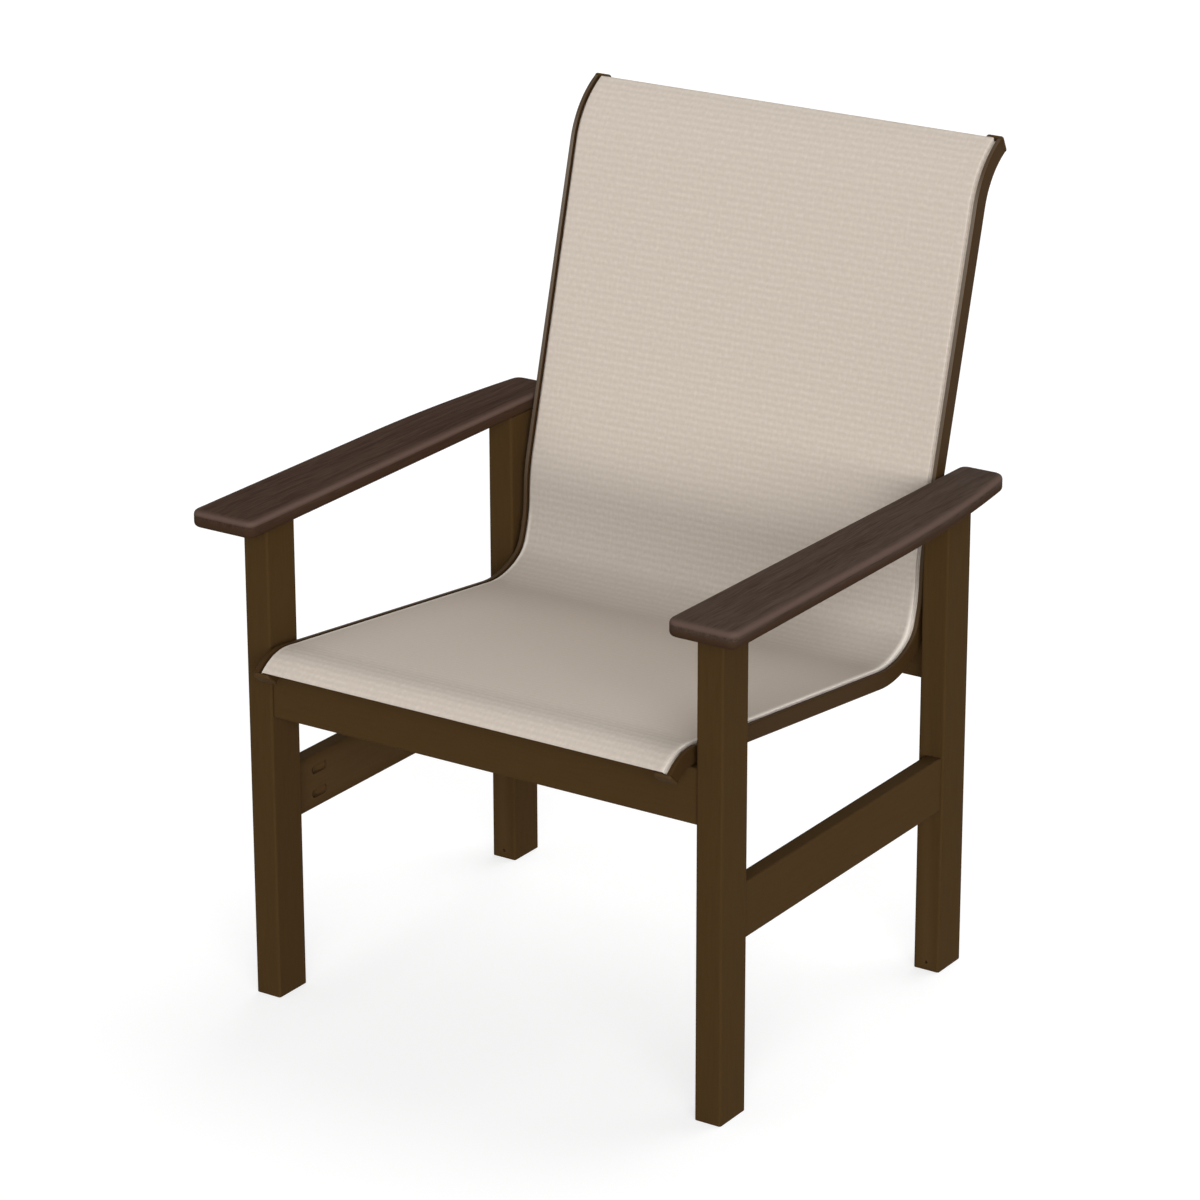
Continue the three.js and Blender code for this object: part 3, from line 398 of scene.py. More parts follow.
# The head's flat underside stops where its rim meets the pocket's half-round end
head_back = pocket_half_width - math.sqrt(pocket_half_width ** 2 - head_radius ** 2) + slight_gap
for name, place in pocket_screws.items():
    seat = place["start"] - place["direction"] * head_back
    length = np.linalg.norm(place["leaves"] - seat) + pocket_screw_bite
    add_piece(f"{name}_turned", [shell(screw_grid(seat, place["direction"], length))], coated_steel,
              [name])

# Arms: boards of darker plastic lumber with an embossed wood grain, milled to a straight inside and a
# bowed outside, with all edges rounded over. Hidden steel studs hold them on the legs.

rail_outer = float(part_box("sling_rail_right")[1].x)


def signed_area(loop):
    """Twice the area inside an outline, negative if it runs clockwise."""
    return (loop[:, 0] * np.roll(loop[:, 1], -1) - loop[:, 1] * np.roll(loop[:, 0], -1)).sum()


def arm_outline(side, low, high):
    """Plan of an arm, from its front inner corner outwards: straight front, straight outer edge that behind the
    middle follows a circle of 1860 mm, rear end and straight inner edge, with a parabola of 13 mm at each corner."""
    middle = (leg_boxes["leg_front_right"][0][1] + leg_boxes["leg_rear_right"][1][1]) / 2
    front, rear, outer, inner = low[1], high[1], high[0], low[0]
    reach, bow, straight, rail_gap = 0.013, 1.86, 0.028, 0.0039
    inner_rear = rail_outer + rail_gap

    def inner_at(y):
        return inner + (inner_rear - inner) * (y - front) / (rear - front)

    def outer_at(y):
        return outer - bow + np.sqrt(bow ** 2 - np.maximum(0, y - middle - straight) ** 2)

    def corner(*points):
        a, b, c = np.array(points)
        t = np.linspace(0, 1, 13)[:, None]
        return (1 - t) ** 2 * a + 2 * t * (1 - t) * b + t ** 2 * c

    bowed = np.linspace(middle + straight, rear - reach, 24)
    outline = np.vstack([
        corner((inner_at(front + reach), front + reach), (inner, front), (inner + reach, front)),
        corner((outer - reach, front), (outer, front), (outer, front + reach)),
        np.stack([outer_at(bowed), bowed], 1)[:-1],
        corner((outer_at(rear - reach), rear - reach), (outer_at(rear), rear), (outer_at(rear) - reach, rear)),
        corner((inner_rear + reach, rear), (inner_rear, rear), (inner_at(rear - reach), rear - reach)),
    ])
    return outline * [side, 1]


def arm_grid(outline, low, high, radius=0.006):
    """The plan carried up in rings. Each ring moves in along the outline's normals by the radius times (1 - cosine)
    while it rises by the radius times (1 - sine), so the edges are quarter circles."""
    step = np.roll(outline, -1, 0) - outline
    step /= np.linalg.norm(step, axis=1, keepdims=True)
    tangent = step + np.roll(step, 1, 0)
    tangent /= np.linalg.norm(tangent, axis=1, keepdims=True)
    outward = np.stack([tangent[:, 1], -tangent[:, 0]], 1) * np.sign(signed_area(outline))
    turn = np.linspace(0, math.pi / 2, 9)
    inset = np.concatenate([[radius + 0.002], radius * (1 - np.sin(turn)), [0, 0]])
    rise = np.concatenate([[0], radius * (1 - np.cos(turn)), [radius + 0.001, radius + 0.003]])
    inset = np.concatenate([inset, inset[::-1]])
    height = np.concatenate([low + rise, high - rise[::-1]])
    rings = outline[None] - inset[:, None, None] * outward[None]
    return np.concatenate([rings, np.broadcast_to(height[:, None, None], (*rings.shape[:2], 1))], 2)


def wavering(tree, place, cells, reach):
    """The place moved by slow noise, up to its reach along each axis, so that what is drawn there wavers."""
    return add_node(tree, "ShaderNodeVectorMath", [("operation", "MULTIPLY_ADD"), (1, reach)],
                    [(0, noise(tree, place, cells, 1.0)["Color"]), (2, place)]).outputs[0]


def grained_lumber(name, dark, light):
    """Polyethylene lumber with a wood grain rolled into it while warm. Pores and streaks run along the arm, darker in
    their bottoms. On the rounded edge a painted highlight makes it paler above, and painted shade makes it darker and
    redder low on the edge."""
    finish, tree, shader = new_finish(name, light, 0.7, IOR=1.52, Specular_IOR_Level=0.015)
    place = wavering(tree, add_node(tree, "ShaderNodeTexCoord").outputs["Object"], 9.0, (0.012, 0.012, 0.012))
    # Pores 1.6 mm wide and 45 mm long, bands of growth 8 mm wide and 330 mm long
    pores = noise(tree, place, (620, 22, 620), 4.0, Roughness=0.65)["Fac"]
    bands = noise(tree, place, (120, 3, 120), 2.0)["Fac"]
    grain = worked_out(tree, "MULTIPLY_ADD", bands, 0.6, pores)
    colour = mixed(tree, spread_out(tree, grain, From_Min=0.55, From_Max=1.05), dark, light)
    # Painted highlight on the upper rounding, painted shade low on the edge
    for layer, tone in (("painted_edge_highlight", "#5c4b43"), ("painted_low_edge_shade", "#3b2a1e")):
        colour = mixed(tree, kept_share(tree, layer), colour, tone)
    dress(tree, shader, colour, grain, 0.25, 0.0005)
    return finish


# One lumber in two copies as painted shade and light: the left arm's copy a little darker, the right arm's paler
arm_finishes = {"left": grained_lumber("Embossed plastic lumber, left, painted darker", "#31221a", "#49382e"),
                "right": grained_lumber("Embossed plastic lumber, right, painted lighter", "#392c24", "#51443c")}
low, high = box_of("arm_right")
for side_name, side in sides:
    grid = arm_grid(arm_outline(side, low, high), low[2], high[2])
    arm = add_piece(f"arm_{side_name}_milled", [shell(grid)], arm_finishes[side_name],
                    [f"arm_{side_name}"])
    # Shares of the painted highlight and the painted shade by height in the edge. The flats, whose rings are the
    # first and the last, have none
    height = (grid[:, :, 2] - low[2]) / (high[2] - low[2])
    on_edge = np.ones_like(height)
    on_edge[[0, -1]] = 0
    keep_shares(arm.data, "painted_edge_highlight", np.clip(1 - ((height - 0.84) / 0.18) ** 2, 0, 1) * on_edge)
    keep_shares(arm.data, "painted_low_edge_shade", np.clip(1.8 - 2.6 * height, 0, 1) * on_edge)
    for end_name in ("front", "rear"):
        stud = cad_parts[f"arm_stud_{end_name}_{side_name}"]
        stud.material_slots[0].material = steel

# Sling rails: two hollow aluminium extrusions, bent for the nose, between seat and back, at the small of
# the back and for the rolled top, then powder coated bronze. A groove in the face holds the fabric's hem.

rail_width, rail_depth, rail_wall = 0.0205, 0.0202, 0.002
lip_inner, lip_outer, lip_deep = 0.011, 0.0053, 0.0003
groove_in, groove_deep, groove_radius = 0.008, 0.008, 0.0041
fixing_clear = 0.0027  # from the inside of the rail's back wall to the axis of its screws and plugs
fixing_deep = rail_depth - rail_wall - fixing_clear
# The straight seat starts ahead of the front leg's middle and under the arm, and the straight back starts
# ahead of the rear leg's middle
seat_ahead, seat_under_arm, back_ahead, half_leg = 0.0153, 0.1391, 0.0046, 0.0256
seat_slope, nose_turn, roll_turn = np.radians([6.3, 56.6, 49.5])
leg_middles = [leg_boxes[f"leg_{end}_right"][0][1] + half_leg for end in ("front", "rear")]
nose_radius, roll_radius, back_run = 0.0592, 0.108, 0.3762
# Wide curve out of the seat, tight bend, wide curve into the back, and the lumbar curve the other way
bends = list(zip((0.1006, 0.0347, 0.152, 0.214), np.radians([38.2, 37.5, 19.9, -14.2])))
headings = np.cumsum([-seat_slope] + [turn for _, turn in bends])
bend_reach = sum(math.copysign(radius, turn) * (math.sin(after) - math.sin(before))
                 for (radius, turn), before, after in zip(bends, headings, headings[1:]))
seat_run = (leg_middles[1] - leg_middles[0] + seat_ahead - back_ahead - bend_reach) / math.cos(seat_slope)
stretches = [(nose_radius * nose_turn, -nose_turn), (seat_run, 0),
             *((radius * abs(turn), turn) for radius, turn in bends),
             (back_run, 0), (roll_radius * roll_turn, -roll_turn)]
stretch_starts = np.concatenate([[0], np.cumsum([length for length, _ in stretches])])
seat_start = stretch_starts[1]
back_start, back_end, rail_length = (float(v) for v in stretch_starts[-3:])


def rail_line(along):
    """Side view of the rail's fabric face: y, z and heading at each distance along it. Every stretch adds a chord as
    long as the part travelled times sin(half its turn)/(half its turn), laid at its heading plus half its turn."""
    along = np.asarray(along, float)
    heading = nose_turn - seat_slope
    # From the front of the straight seat run the nose goes back down to the rail's front end
    y = leg_middles[0] - seat_ahead - nose_radius * (math.sin(heading) + math.sin(seat_slope))
    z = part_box("arm_right")[0].z - seat_under_arm - nose_radius * (math.cos(seat_slope) - math.cos(heading))
    y, z, heading = (np.full(along.shape, float(v)) for v in (y, z, heading))
    for start, (length, turn) in zip(stretch_starts, stretches):
        gone = np.clip(along - start, 0, length)
        half = gone / length * turn / 2
        chord = gone * np.sinc(half / math.pi)
        y, z = y + chord * np.cos(heading + half), z + chord * np.sin(heading + half)
        heading = heading + 2 * half
    return y, z, heading


def on_rail(side, along, inwards, deep):
    """Point on a rail: so far along it, so far in from its outer face, and so deep under its fabric face."""
    along, inwards, deep = np.broadcast_arrays(along, inwards, deep)
    y, z, heading = rail_line(along)
    return np.stack([side * (rail_outer - inwards), y + deep * np.sin(heading), z - deep * np.cos(heading)], -1)


def rail_stations(first, last, longest=0.5, closest=0.0002):
    """Distances along the rail: a step of at most 2 degrees in each bend and of the longest length in between, with
    nothing closer to the two ends than the closest length."""
    parts = [np.linspace(start, start + length, 2 + int(max(abs(turn) / math.radians(2), length / longest)))
             for start, (length, turn) in zip(stretch_starts, stretches)]
    inside = np.unique(np.round(np.concatenate(parts), 7))
    inside = inside[(inside > first + closest) & (inside < last - closest)]
    return np.concatenate([[first], inside, [last]])


def groove_arc(radius, from_angle, to_angle, steps):
    """Circle arc round the middle of the groove, as (in, deep)."""
    angle = np.linspace(from_angle, to_angle, steps + 1)
    return np.stack([groove_in + radius * np.cos(angle), groove_deep + radius * np.sin(angle)], 1)


def mouth_angle(radius, inwards):
    """Angle from the groove's middle at which a circle passes a given place in the mouth."""
    return -math.acos((inwards - groove_in) / radius)


def hollow_section(inset=0):
    """The hollow beside and under the groove, an L, or what fits in it with an inset all round."""
    beside = groove_in + groove_radius + rail_wall + inset
    under = groove_deep + groove_radius + rail_wall + inset
    near, far = rail_wall + inset, rail_width - rail_wall - inset
    top, bottom = lip_deep + rail_wall + inset, rail_depth - rail_wall - inset
    return np.array([(near, under), (beside, under), (beside, top), (far, top), (far, bottom), (near, bottom)])


def rail_section():
    """Outline of the extrusion with its mouth and round groove."""
    slot = groove_arc(groove_radius, mouth_angle(groove_radius, lip_inner),
                      mouth_angle(groove_radius, lip_outer) + 2 * math.pi, 28)
    walls = [(lip_outer, 0), (0, 0), (0, rail_depth), (rail_width, rail_depth), (rail_width, lip_deep),
             (lip_inner, lip_deep), slot[0], slot[-1]]
    lip, edge = 0.0004, 0.0014
    radii = [lip, edge, edge, edge, edge, lip, 0, 0]
    return np.vstack([softened(walls, radii, 5, 0.0003)[:6].reshape(-1, 2), slot])


def tube_shell(side, outline, hollow, stations):
    """Two outlines carried along the rail, the outer one and the hollow, with the ring between them closed at both
    ends. The hollow runs the other way round, so that its wall faces into it."""
    loops = [outline if signed_area(outline) > 0 else outline[::-1],
             hollow if signed_area(hollow) < 0 else hollow[::-1]]
    section = np.vstack(loops)
    grid = on_rail(side, stations[:, None], section[:, 0], section[:, 1])
    index = np.arange(grid[..., 0].size).reshape(grid.shape[:2])
    parts = np.split(index, [len(loops[0])], 1)
    faces = [quads_between(np.hstack([part, part[:, :1]])) for part in parts]
    # Points of a straight side are bowed out by some micrometres while the ends are cut into triangles, so that
    # no triangle comes out flat
    centred = section - section.mean(0)
    bowed = centred * (1 - 10 * (centred ** 2).sum(1, keepdims=True))
    loops = np.split(bowed, [len(loops[0])])
    ends = np.array(tessellate_polygon([[(*p, 0) for p in loop] for loop in loops]))
    a, b, c = (bowed[ends[:, k]] for k in range(3))
    clockwise = ((b - a)[:, 0] * (c - a)[:, 1] - (b - a)[:, 1] * (c - a)[:, 0]) < 0
    ends[clockwise] = ends[clockwise, ::-1]
    turn = 1 if side > 0 else -1
    walls = [face[::turn].tolist() for face in np.vstack(faces)]
    lids = ends[:, ::turn].tolist() + (index[-1, 0] + ends[:, ::-turn]).tolist()
    return grid.reshape(-1, 3), walls + lids, section


def powder_coat():
    """Polyester powder baked on aluminium: bronze, satin, with the fine orange peel that the melt leaves. A painted
    reflection makes the front lip of the rail paler along the backrest."""
    finish, tree, shader = new_finish("Powder-coated aluminium, bronze", "#3f2d18", 0.45, IOR=1.5,
                                      Specular_IOR_Level=0.02)
    # Orange peel cells of about 1.2 mm
    peel = noise(tree, add_node(tree, "ShaderNodeTexCoord").outputs["Object"], 850.0, 1.0)["Fac"]
    colour = mixed(tree, kept_share(tree, "painted_lip_reflection"), mixed(tree, peel, "#3c2b15", "#422f1b"), "#6d6257")
    dress(tree, shader, colour, peel, 0.12, 0.0002)
    return finish


bronze = powder_coat()
cap_thickness = 0.0048
rail_ends = cap_thickness + slight_gap
for side_name, side in sides:
    stations = rail_stations(rail_ends, rail_length - rail_ends)
    points, faces, section = tube_shell(side, rail_section(), hollow_section(), stations)
    rail = add_piece(f"sling_rail_{side_name}_extrusion", [(points, faces)], bronze,
                     [f"sling_rail_{side_name}"])
    # Painted reflection: the outer lip's face is paler, most of all along the straight back
    on_lip = (section[:, 1] < lip_deep / 2) & (section[:, 0] < lip_outer + 0.0001)
    lip_reflection = np.interp(stations, [seat_start, back_start - 0.05, back_start + 0.1, back_end, back_end + 0.04],
                       [0, 0.2, 0.9, 1, 0.3])
    keep_shares(rail.data, "painted_lip_reflection", np.outer(lip_reflection, on_lip))

# Rail screws and spacers: at each leg a stainless screw goes through the rail and a moulded nylon
# spacer into the leg, one screw in front and two behind.

spacer_length, rail_screw_bite = 0.0062, 0.024


def moulded_nylon():
    """Injection-moulded nylon, coloured through: even and matt, with the fine spark texture of the mould."""
    finish, tree, shader = new_finish("Moulded nylon, brown", "#483721", 0.55, IOR=1.53, Specular_IOR_Level=0.01)
    spark = noise(tree, add_node(tree, "ShaderNodeTexCoord").outputs["Object"], 1100.0, 2.0)["Fac"]
    dress(tree, shader, mixed(tree, spark, "#44331e", "#4c3a24"), spark, 0.15, 0.0001)
    return finish


nylon = moulded_nylon()
spacer_profile = [(0.0031, 0.0003), (0.0034, 0), (0.0066, 0), (0.007, 0.0004), (0.007, 0.0058),
                  (0.0066, spacer_length), (0.0034, spacer_length), (0.0031, 0.0059)]
for place in ("front", "rear_lower", "rear_upper"):
    for side_name, side in sides:
        low, high = box_of(f"rail_spacer_{place}_{side_name}")
        middle = (low + high) / 2
        seat = (side * (rail_outer - rail_width - slight_gap), middle[1], middle[2])
        screw = screw_grid(seat, (side, 0, 0), rail_width + spacer_length + rail_screw_bite)
        add_piece(f"rail_screw_{place}_{side_name}_turned", [shell(screw)], steel,
                  [f"rail_screw_{place}_{side_name}"])
        spacer = turned(spacer_profile, (side * (rail_outer + slight_gap), middle[1], middle[2]), (side, 0, 0), 40)
        add_piece(f"rail_spacer_{place}_{side_name}_moulded", [shell(spacer, loop=True)], nylon,
                  [f"rail_spacer_{place}_{side_name}"])

# Spreader bars: two bowed aluminium tubes keep the rails apart against the pull of the sling, one under
# the seat and one behind the back. Nylon plugs in their ends sit in holes of the rails.


def bar_tube(middle, heading, half_span):
    """Tube with a raised cosine for its line: straight for 28 mm at each end and 38 mm off the fabric in the middle.
    The rows go along the outside and back along the inside, so the wall closes at both ends."""
    radius, wall, straight, bow = 0.0095, 0.0016, 0.028, 0.038
    x = np.linspace(-half_span, half_span, 65)
    turn = math.pi * np.minimum(1, np.abs(x) / (half_span - straight))
    drop = bow * (1 + np.cos(turn)) / 2
    slope = np.gradient(drop, x)
    down = np.array([0, math.sin(heading), -math.cos(heading)])
    across = np.array([0, math.cos(heading), math.sin(heading)])
    normal = down - slope[:, None] * [1, 0, 0]
    normal /= np.linalg.norm(normal, axis=1, keepdims=True)
    line = middle + x[:, None] * [1, 0, 0] + drop[:, None] * down
    angle = np.linspace(0, 2 * math.pi, 36, endpoint=False)
    spokes = np.cos(angle)[None, :, None] * normal[:, None] + np.sin(angle)[None, :, None] * across
    outside, inside = line[:, None] + radius * spokes, line[:, None] + (radius - wall) * spokes
    return np.concatenate([outside, inside[::-1]])


plug_profile = [(0.0003, -0.019), (0.0062, -0.019), (0.0069, -0.0182), (0.0069, -0.003), (0.0091, -0.003),
                (0.0095, -0.0026), (0.0095, -0.0005), (0.009, 0), (0.0024, 0), (0.0024, 0.0046), (0.002, 0.005),
                (0.0003, 0.005)]
seat_bar_behind, back_bar_below = 0.19, 0.06  # from the start of the straight seat and the end of the straight back
for place, along in (("seat", seat_start + seat_bar_behind), ("back", back_end - back_bar_below)):
    middle = on_rail(1, along, rail_outer, fixing_deep)
    heading = float(rail_line(along)[2])
    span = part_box(f"{place}_spreader_bar")[1].x
    add_piece(f"{place}_spreader_bar_tube", [shell(bar_tube(middle, heading, span), loop=True)], bronze,
              [f"{place}_spreader_bar"])
    for side_name, side in sides:
        seat = (side * (rail_outer - rail_width - slight_gap), middle[1], middle[2])
        plug = turned(plug_profile, seat, (side, 0, 0), 36)
        add_piece(f"spreader_plug_{place}_{side_name}_moulded", [shell(plug)], nylon,
                  [f"spreader_plug_{place}_{side_name}"])

# Sling: one sheet of mesh woven from vinyl-coated polyester yarn, stretched from rail to rail. Each side
# hem is welded round a nylon rod and slid into the groove, so the sheet lies straight between the rails
# and gives only a little in the middle of the seat and of the back.

sling_thickness, hem_start, seat_give, back_give = 0.0009, 0.006, 0.003, 0.0025
hem_radius, fabric_in, fabric_corner = 0.00315, 0.01025, 0.0012
cloth_deep = -sling_thickness / 2
edge_strip, points_across, longest_step = 0.004, 46, 0.012


def sling_profile():
    """Half of the cross-section, from the hem's end round the rod, up through the mouth and over the inner lip, as
    (in, deep) of the middle of the cloth."""
    through = mouth_angle(hem_radius, fabric_in)
    hem = groove_arc(hem_radius, through + math.radians(24), through + 2 * math.pi, 26)
    turn = np.linspace(0, math.pi / 2, 6)
    over = np.stack([fabric_in + fabric_corner * (1 - np.cos(turn)),
                     cloth_deep + fabric_corner * (1 - np.sin(turn))], 1)
    return np.vstack([hem, over])


half = sling_profile()
flat_half = rail_outer - half[-1, 0]
across = np.linspace(edge_strip - flat_half, flat_half - edge_strip, points_across)
section = np.concatenate([
    np.stack([half[:, 0] - rail_outer, half[:, 1]], 1),
    np.stack([across, np.full(points_across, cloth_deep)], 1),
    np.stack([rail_outer - half[::-1, 0], half[::-1, 1]], 1),
])
stations = rail_stations(hem_start, rail_length - hem_start, longest_step)


def sag_at(along, x):
    """How far the sheet gives: a parabola across, times the square of a sine along the seat and along the back."""
    across_share = np.clip(1 - (x / flat_half) ** 2, 0, 1)
    seat = np.sin(math.pi * np.clip((along - seat_start) / seat_run, 0, 1)) ** 2 * seat_give
    back = np.sin(math.pi * np.clip((along - back_start) / back_run, 0, 1)) ** 2 * back_give
    return across_share * (seat + back)


deep = section[None, :, 1] + sag_at(stations[:, None], section[None, :, 0])
cloth_points = on_rail(1, stations[:, None], rail_outer - section[None, :, 0], deep)
cloth_path = np.concatenate([[0], np.cumsum(np.linalg.norm(np.diff(section, axis=0), axis=1))])


def coated_mesh():
    """Vinyl-coated polyester yarn, plain woven and heat set: matt, in low ribs that come and go where slack and tight
    weft yarns lie together. The yarns are 0.5 mm, too fine to show; ribs are 8.4 mm and warps 6.7 mm apart."""
    finish, tree, shader = new_finish("Woven vinyl-coated polyester", "#cbbfb3", 0.78, IOR=1.53,
                                      Specular_IOR_Level=0.1)
    cloth = add_node(tree, "ShaderNodeUVMap", [("uv_map", "cloth")]).outputs["UV"]
    place = wavering(tree, cloth, 60.0, (0.0012, 0.0018, 0))
    axes = add_node(tree, "ShaderNodeSeparateXYZ", [], [("Vector", place)]).outputs
    # Ribs of dashes 7 mm long and 4 mm wide, and short ticks along the warps
    grains, drawn = [], []
    for axis, spacing, cells in (("Y", 0.00838, (150, 250, 1)), ("X", 0.0067, (400, 130, 1))):
        phase = worked_out(tree, "MULTIPLY", axes[axis], 2 * math.pi / spacing)
        grains.append(noise(tree, place, cells, 2.0, Roughness=0.55)["Fac"])
        drawn.append(worked_out(tree, "MULTIPLY", worked_out(tree, "SINE", phase), grains[-1]))
    weave, ticks = drawn
    for share, layer in ((0.25, ticks), (2.8, grains[0]), (2.2, grains[1])):
        weave = worked_out(tree, "MULTIPLY_ADD", layer, share, weave)
    weave = worked_out(tree, "SUBTRACT", weave, 2.5)
    weave = worked_out(tree, "MULTIPLY", weave, kept_share(tree, "ribbed"))
    colour = mixed(tree, spread_out(tree, weave, From_Min=-1.5, From_Max=1.5), "#beb2a5", "#cfc4b9")
    # Painted shade where the sheet bends
    colour = mixed(tree, kept_share(tree, "painted_bend_shade"), colour, "#e2e3e4", "MULTIPLY")
    # Painted highlight on the cloth over the rail's lip
    colour = mixed(tree, kept_share(tree, "painted_rim_highlight"), colour, "#ece3d8")
    dress(tree, shader, colour, weave, 0.12, 0.0004)
    return finish


rows, columns = cloth_points.shape[:2]
quads = quads_between(np.arange(rows * columns).reshape(rows, columns))[:, [0, 3, 2, 1]]
sling_mesh = bpy.data.meshes.new("sling_stretched")
sling_mesh.from_pydata(cloth_points.reshape(-1, 3).tolist(), [], quads.tolist())
cloth_map = np.stack(np.broadcast_arrays(cloth_path[None, :], stations[:, None]), -1).reshape(-1, 2)
sling_mesh.uv_layers.new(name="cloth").data.foreach_set("uv", cloth_map[quads.ravel()].ravel())
# Use has pressed the ribs flat along the seat. Painted shade darkens the sheet where it bends under the knees and
# behind the sitter, and a painted highlight pales it over the rail's lip, most of all beside the seat
for layer, places, shares in (
    ("ribbed", [seat_start, seat_start + 0.05, stretch_starts[2] - 0.03, stretch_starts[4]], [1, 0.3, 0.3, 1]),
    ("painted_rim_highlight", [seat_start - 0.02, seat_start + 0.03, stretch_starts[3], stretch_starts[5]], [0.3, 0.9, 0.9, 0]),
    ("painted_bend_shade", [0.024, 0.044, 0.08, *(stretch_starts[[2, 2, 3, 4, 5]] + [-0.09, 0, 0, 0.02, 0.015]),
                back_start + 0.012, back_start + 0.04],
     [0, 0.6, 0, 0, 0.28, 0.7, 1, 1, 0.2, 0]),
):
    on_sheet = np.abs(section[:, 0]) > across[-1] + 0.001 if layer == "painted_rim_highlight" else np.ones(columns)
    keep_shares(sling_mesh, layer, np.outer(np.interp(stations, places, shares), on_sheet))
sling_mesh.shade_smooth()
sling_mesh.materials.append(coated_mesh())
sling = add_object("sling_stretched", sling_mesh)
thickness = sling.modifiers.new("yarn thickness", "SOLIDIFY")
thickness.thickness, thickness.offset = sling_thickness, 0
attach(sling, "root")
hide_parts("sling")
for side_name, _ in sides:
    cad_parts[f"sling_spline_{side_name}"].material_slots[0].material = nylon

# Rail caps: moulded nylon blocks with rounded ends that close the rails at the front and at the top, each
# with a spigot pressed into the rail's hollow. They also keep the hems and their rods from sliding out.

spigot_length = 0.012


def cap_grid(side, outer, inner):
    """Rounded block carried along the rail: it draws in towards its outer face by the edge radius times (1 - sine),
    and twice as much on the side that faces away from the fabric. Its last 0.8 mm draws in again, as a joint."""
    edge, over, joint, corner = 0.0032, 0.0008, 0.0008, 0.0034
    turn, toward = np.linspace(0, math.pi / 2, 9), math.copysign(1, inner - outer)
    inset = np.concatenate([[edge + 0.002], edge * (1 - np.sin(turn)), [0, joint]])
    along = outer + toward * np.concatenate([[0], edge * (1 - np.cos(turn)), [cap_thickness - joint, cap_thickness]])
    rings = []
    for d in inset:
        near, far, bottom = d - over, rail_width + over - d, rail_depth + over - 2 * d
        walls = [(near, near), (far, near), (far, bottom), (near, bottom)]
        rings.append(softened(walls, max(corner - d, 0.0004), 5, 0.0002).reshape(-1, 2))
    rings = np.array(rings)
    return on_rail(side, along[:, None], rings[:, :, 0], rings[:, :, 1])


def spigot_grid(side, first, last):
    """The rail's hollow, made smaller all round by a slight gap, carried into the rail."""
    section = hollow_section(slight_gap)
    return on_rail(side, np.linspace(first, last, 8)[:, None], section[:, 0], section[:, 1])


for side_name, side in sides:
    for end_name, block, spigot in (
        ("front", (0, cap_thickness), (cap_thickness / 2, cap_thickness + spigot_length)),
        ("top", (rail_length, rail_length - cap_thickness),
         (rail_length - cap_thickness / 2, rail_length - cap_thickness - spigot_length)),
    ):
        shells = [shell(cap_grid(side, *block)), shell(spigot_grid(side, *spigot))]
        add_piece(f"rail_cap_{end_name}_{side_name}_moulded", shells, nylon,
                  [f"rail_cap_{end_name}_{side_name}"])

# Studio: a pale floor that the camera sees as plain white but for the chair's own shadow, a soft world
# and two large soft lights: the key from the camera's side, and one from above, behind the back.

floor_mesh = bpy.data.meshes.new("studio_floor")
floor_mesh.from_pydata([(-30, -30, 0), (30, -30, 0), (30, 30, 0), (-30, 30, 0)], [], [(0, 1, 2, 3)])
floor = add_object("studio_floor", floor_mesh)
floor_paint = bpy.data.materials.new("Matt floor paint")
floor_paint.use_nodes = True
tree = floor_paint.node_tree
tree.nodes.remove(tree.nodes["Principled BSDF"])
paint = add_node(tree, "ShaderNodeBsdfDiffuse", [("Color", hex_colour("#b4b4b4"))])


def seen_directly(tree):
    """1 for a ray from the camera, from a gloss or through glass, 0 for the light that falls on things."""
    path = add_node(tree, "ShaderNodeLightPath").outputs
    mirrored = worked_out(tree, "ADD", path["Is Camera Ray"], path["Is Glossy Ray"])
    return add_node(tree, "ShaderNodeMath", [("operation", "ADD"), ("use_clamp", True)],
                    [(0, mirrored), (1, path["Is Transmission Ray"])]).outputs[0]


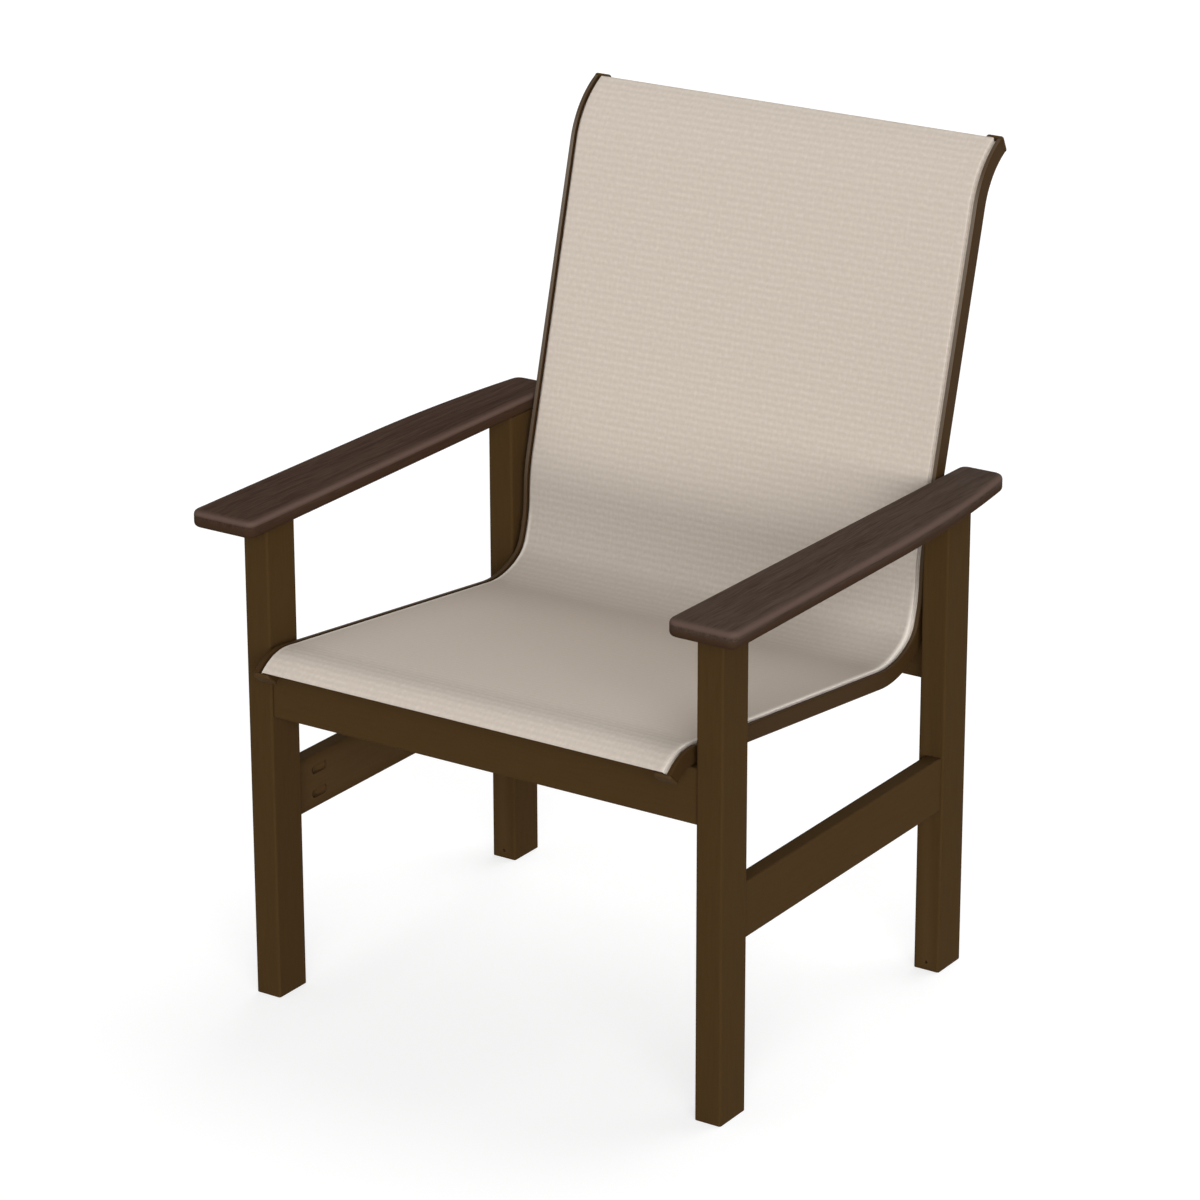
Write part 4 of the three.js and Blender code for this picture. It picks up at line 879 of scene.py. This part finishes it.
lift = worked_out(tree, "MULTIPLY", seen_directly(tree), 0.68)
glow = add_node(tree, "ShaderNodeEmission", [], [("Strength", lift)])
both = add_node(tree, "ShaderNodeAddShader", [], [(0, paint.outputs[0]), (1, glow.outputs[0])])
tree.links.new(both.outputs[0], tree.nodes["Material Output"].inputs["Surface"])
floor_mesh.materials.append(floor_paint)

world = bpy.data.worlds.new("Soft studio")
bpy.context.scene.world = world
world.use_nodes = True
tree = world.node_tree
soft = tree.nodes["Background"]
soft.inputs["Strength"].default_value = 0.35
soft.inputs["Color"].default_value = (1, 1, 1, 1)
white = add_node(tree, "ShaderNodeBackground", [("Strength", 1.0), ("Color", (1, 1, 1, 1))])
seen = add_node(tree, "ShaderNodeMixShader", [],
                [(0, seen_directly(tree)), (1, soft.outputs[0]), (2, white.outputs[0])])
tree.links.new(seen.outputs[0], tree.nodes["World Output"].inputs["Surface"])


def add_sun(name, azimuth, elevation, strength, spread):
    """Soft distant lamp. Azimuth 0 shines from the front, 90 from the chair's right; strength is irradiance over
    pi."""
    lamp = bpy.data.lights.new(name, "SUN")
    lamp.energy, lamp.angle = strength * math.pi, math.radians(spread)
    add_object(name, lamp).rotation_euler = (math.radians(90 - elevation), 0, math.radians(azimuth))


add_sun("key_light", 40, 8, 1.24, 50)
add_sun("back_light", 170, 55, 0.36, 50)

# Camera: the photograph's viewing angle and framing, for a square picture. The small shift puts the
# chair where the photograph has it.

azimuth, elevation, distance, focal_pixels, picture = math.radians(33.33), math.radians(20.21), 5.23107, 4619.41, 1200
sensor, shift_pixels = 36, -31.77
target = np.array([0.01715, -0.02761, 0.46357])
camera = bpy.data.cameras.new("photo_camera")
camera.sensor_width = sensor
camera.lens = focal_pixels / picture * sensor
camera.shift_x = shift_pixels / picture
camera.clip_end = 100
camera_object = add_object("photo_camera", camera)
camera_object.location = target + distance * np.array([math.sin(azimuth) * math.cos(elevation),
                                                       -math.cos(azimuth) * math.cos(elevation),
                                                       math.sin(elevation)])
camera_object.rotation_euler = (math.pi / 2 - elevation, 0, azimuth)
bpy.context.scene.camera = camera_object
bpy.context.scene.view_settings.view_transform = "Standard"

bpy.context.view_layer.update()
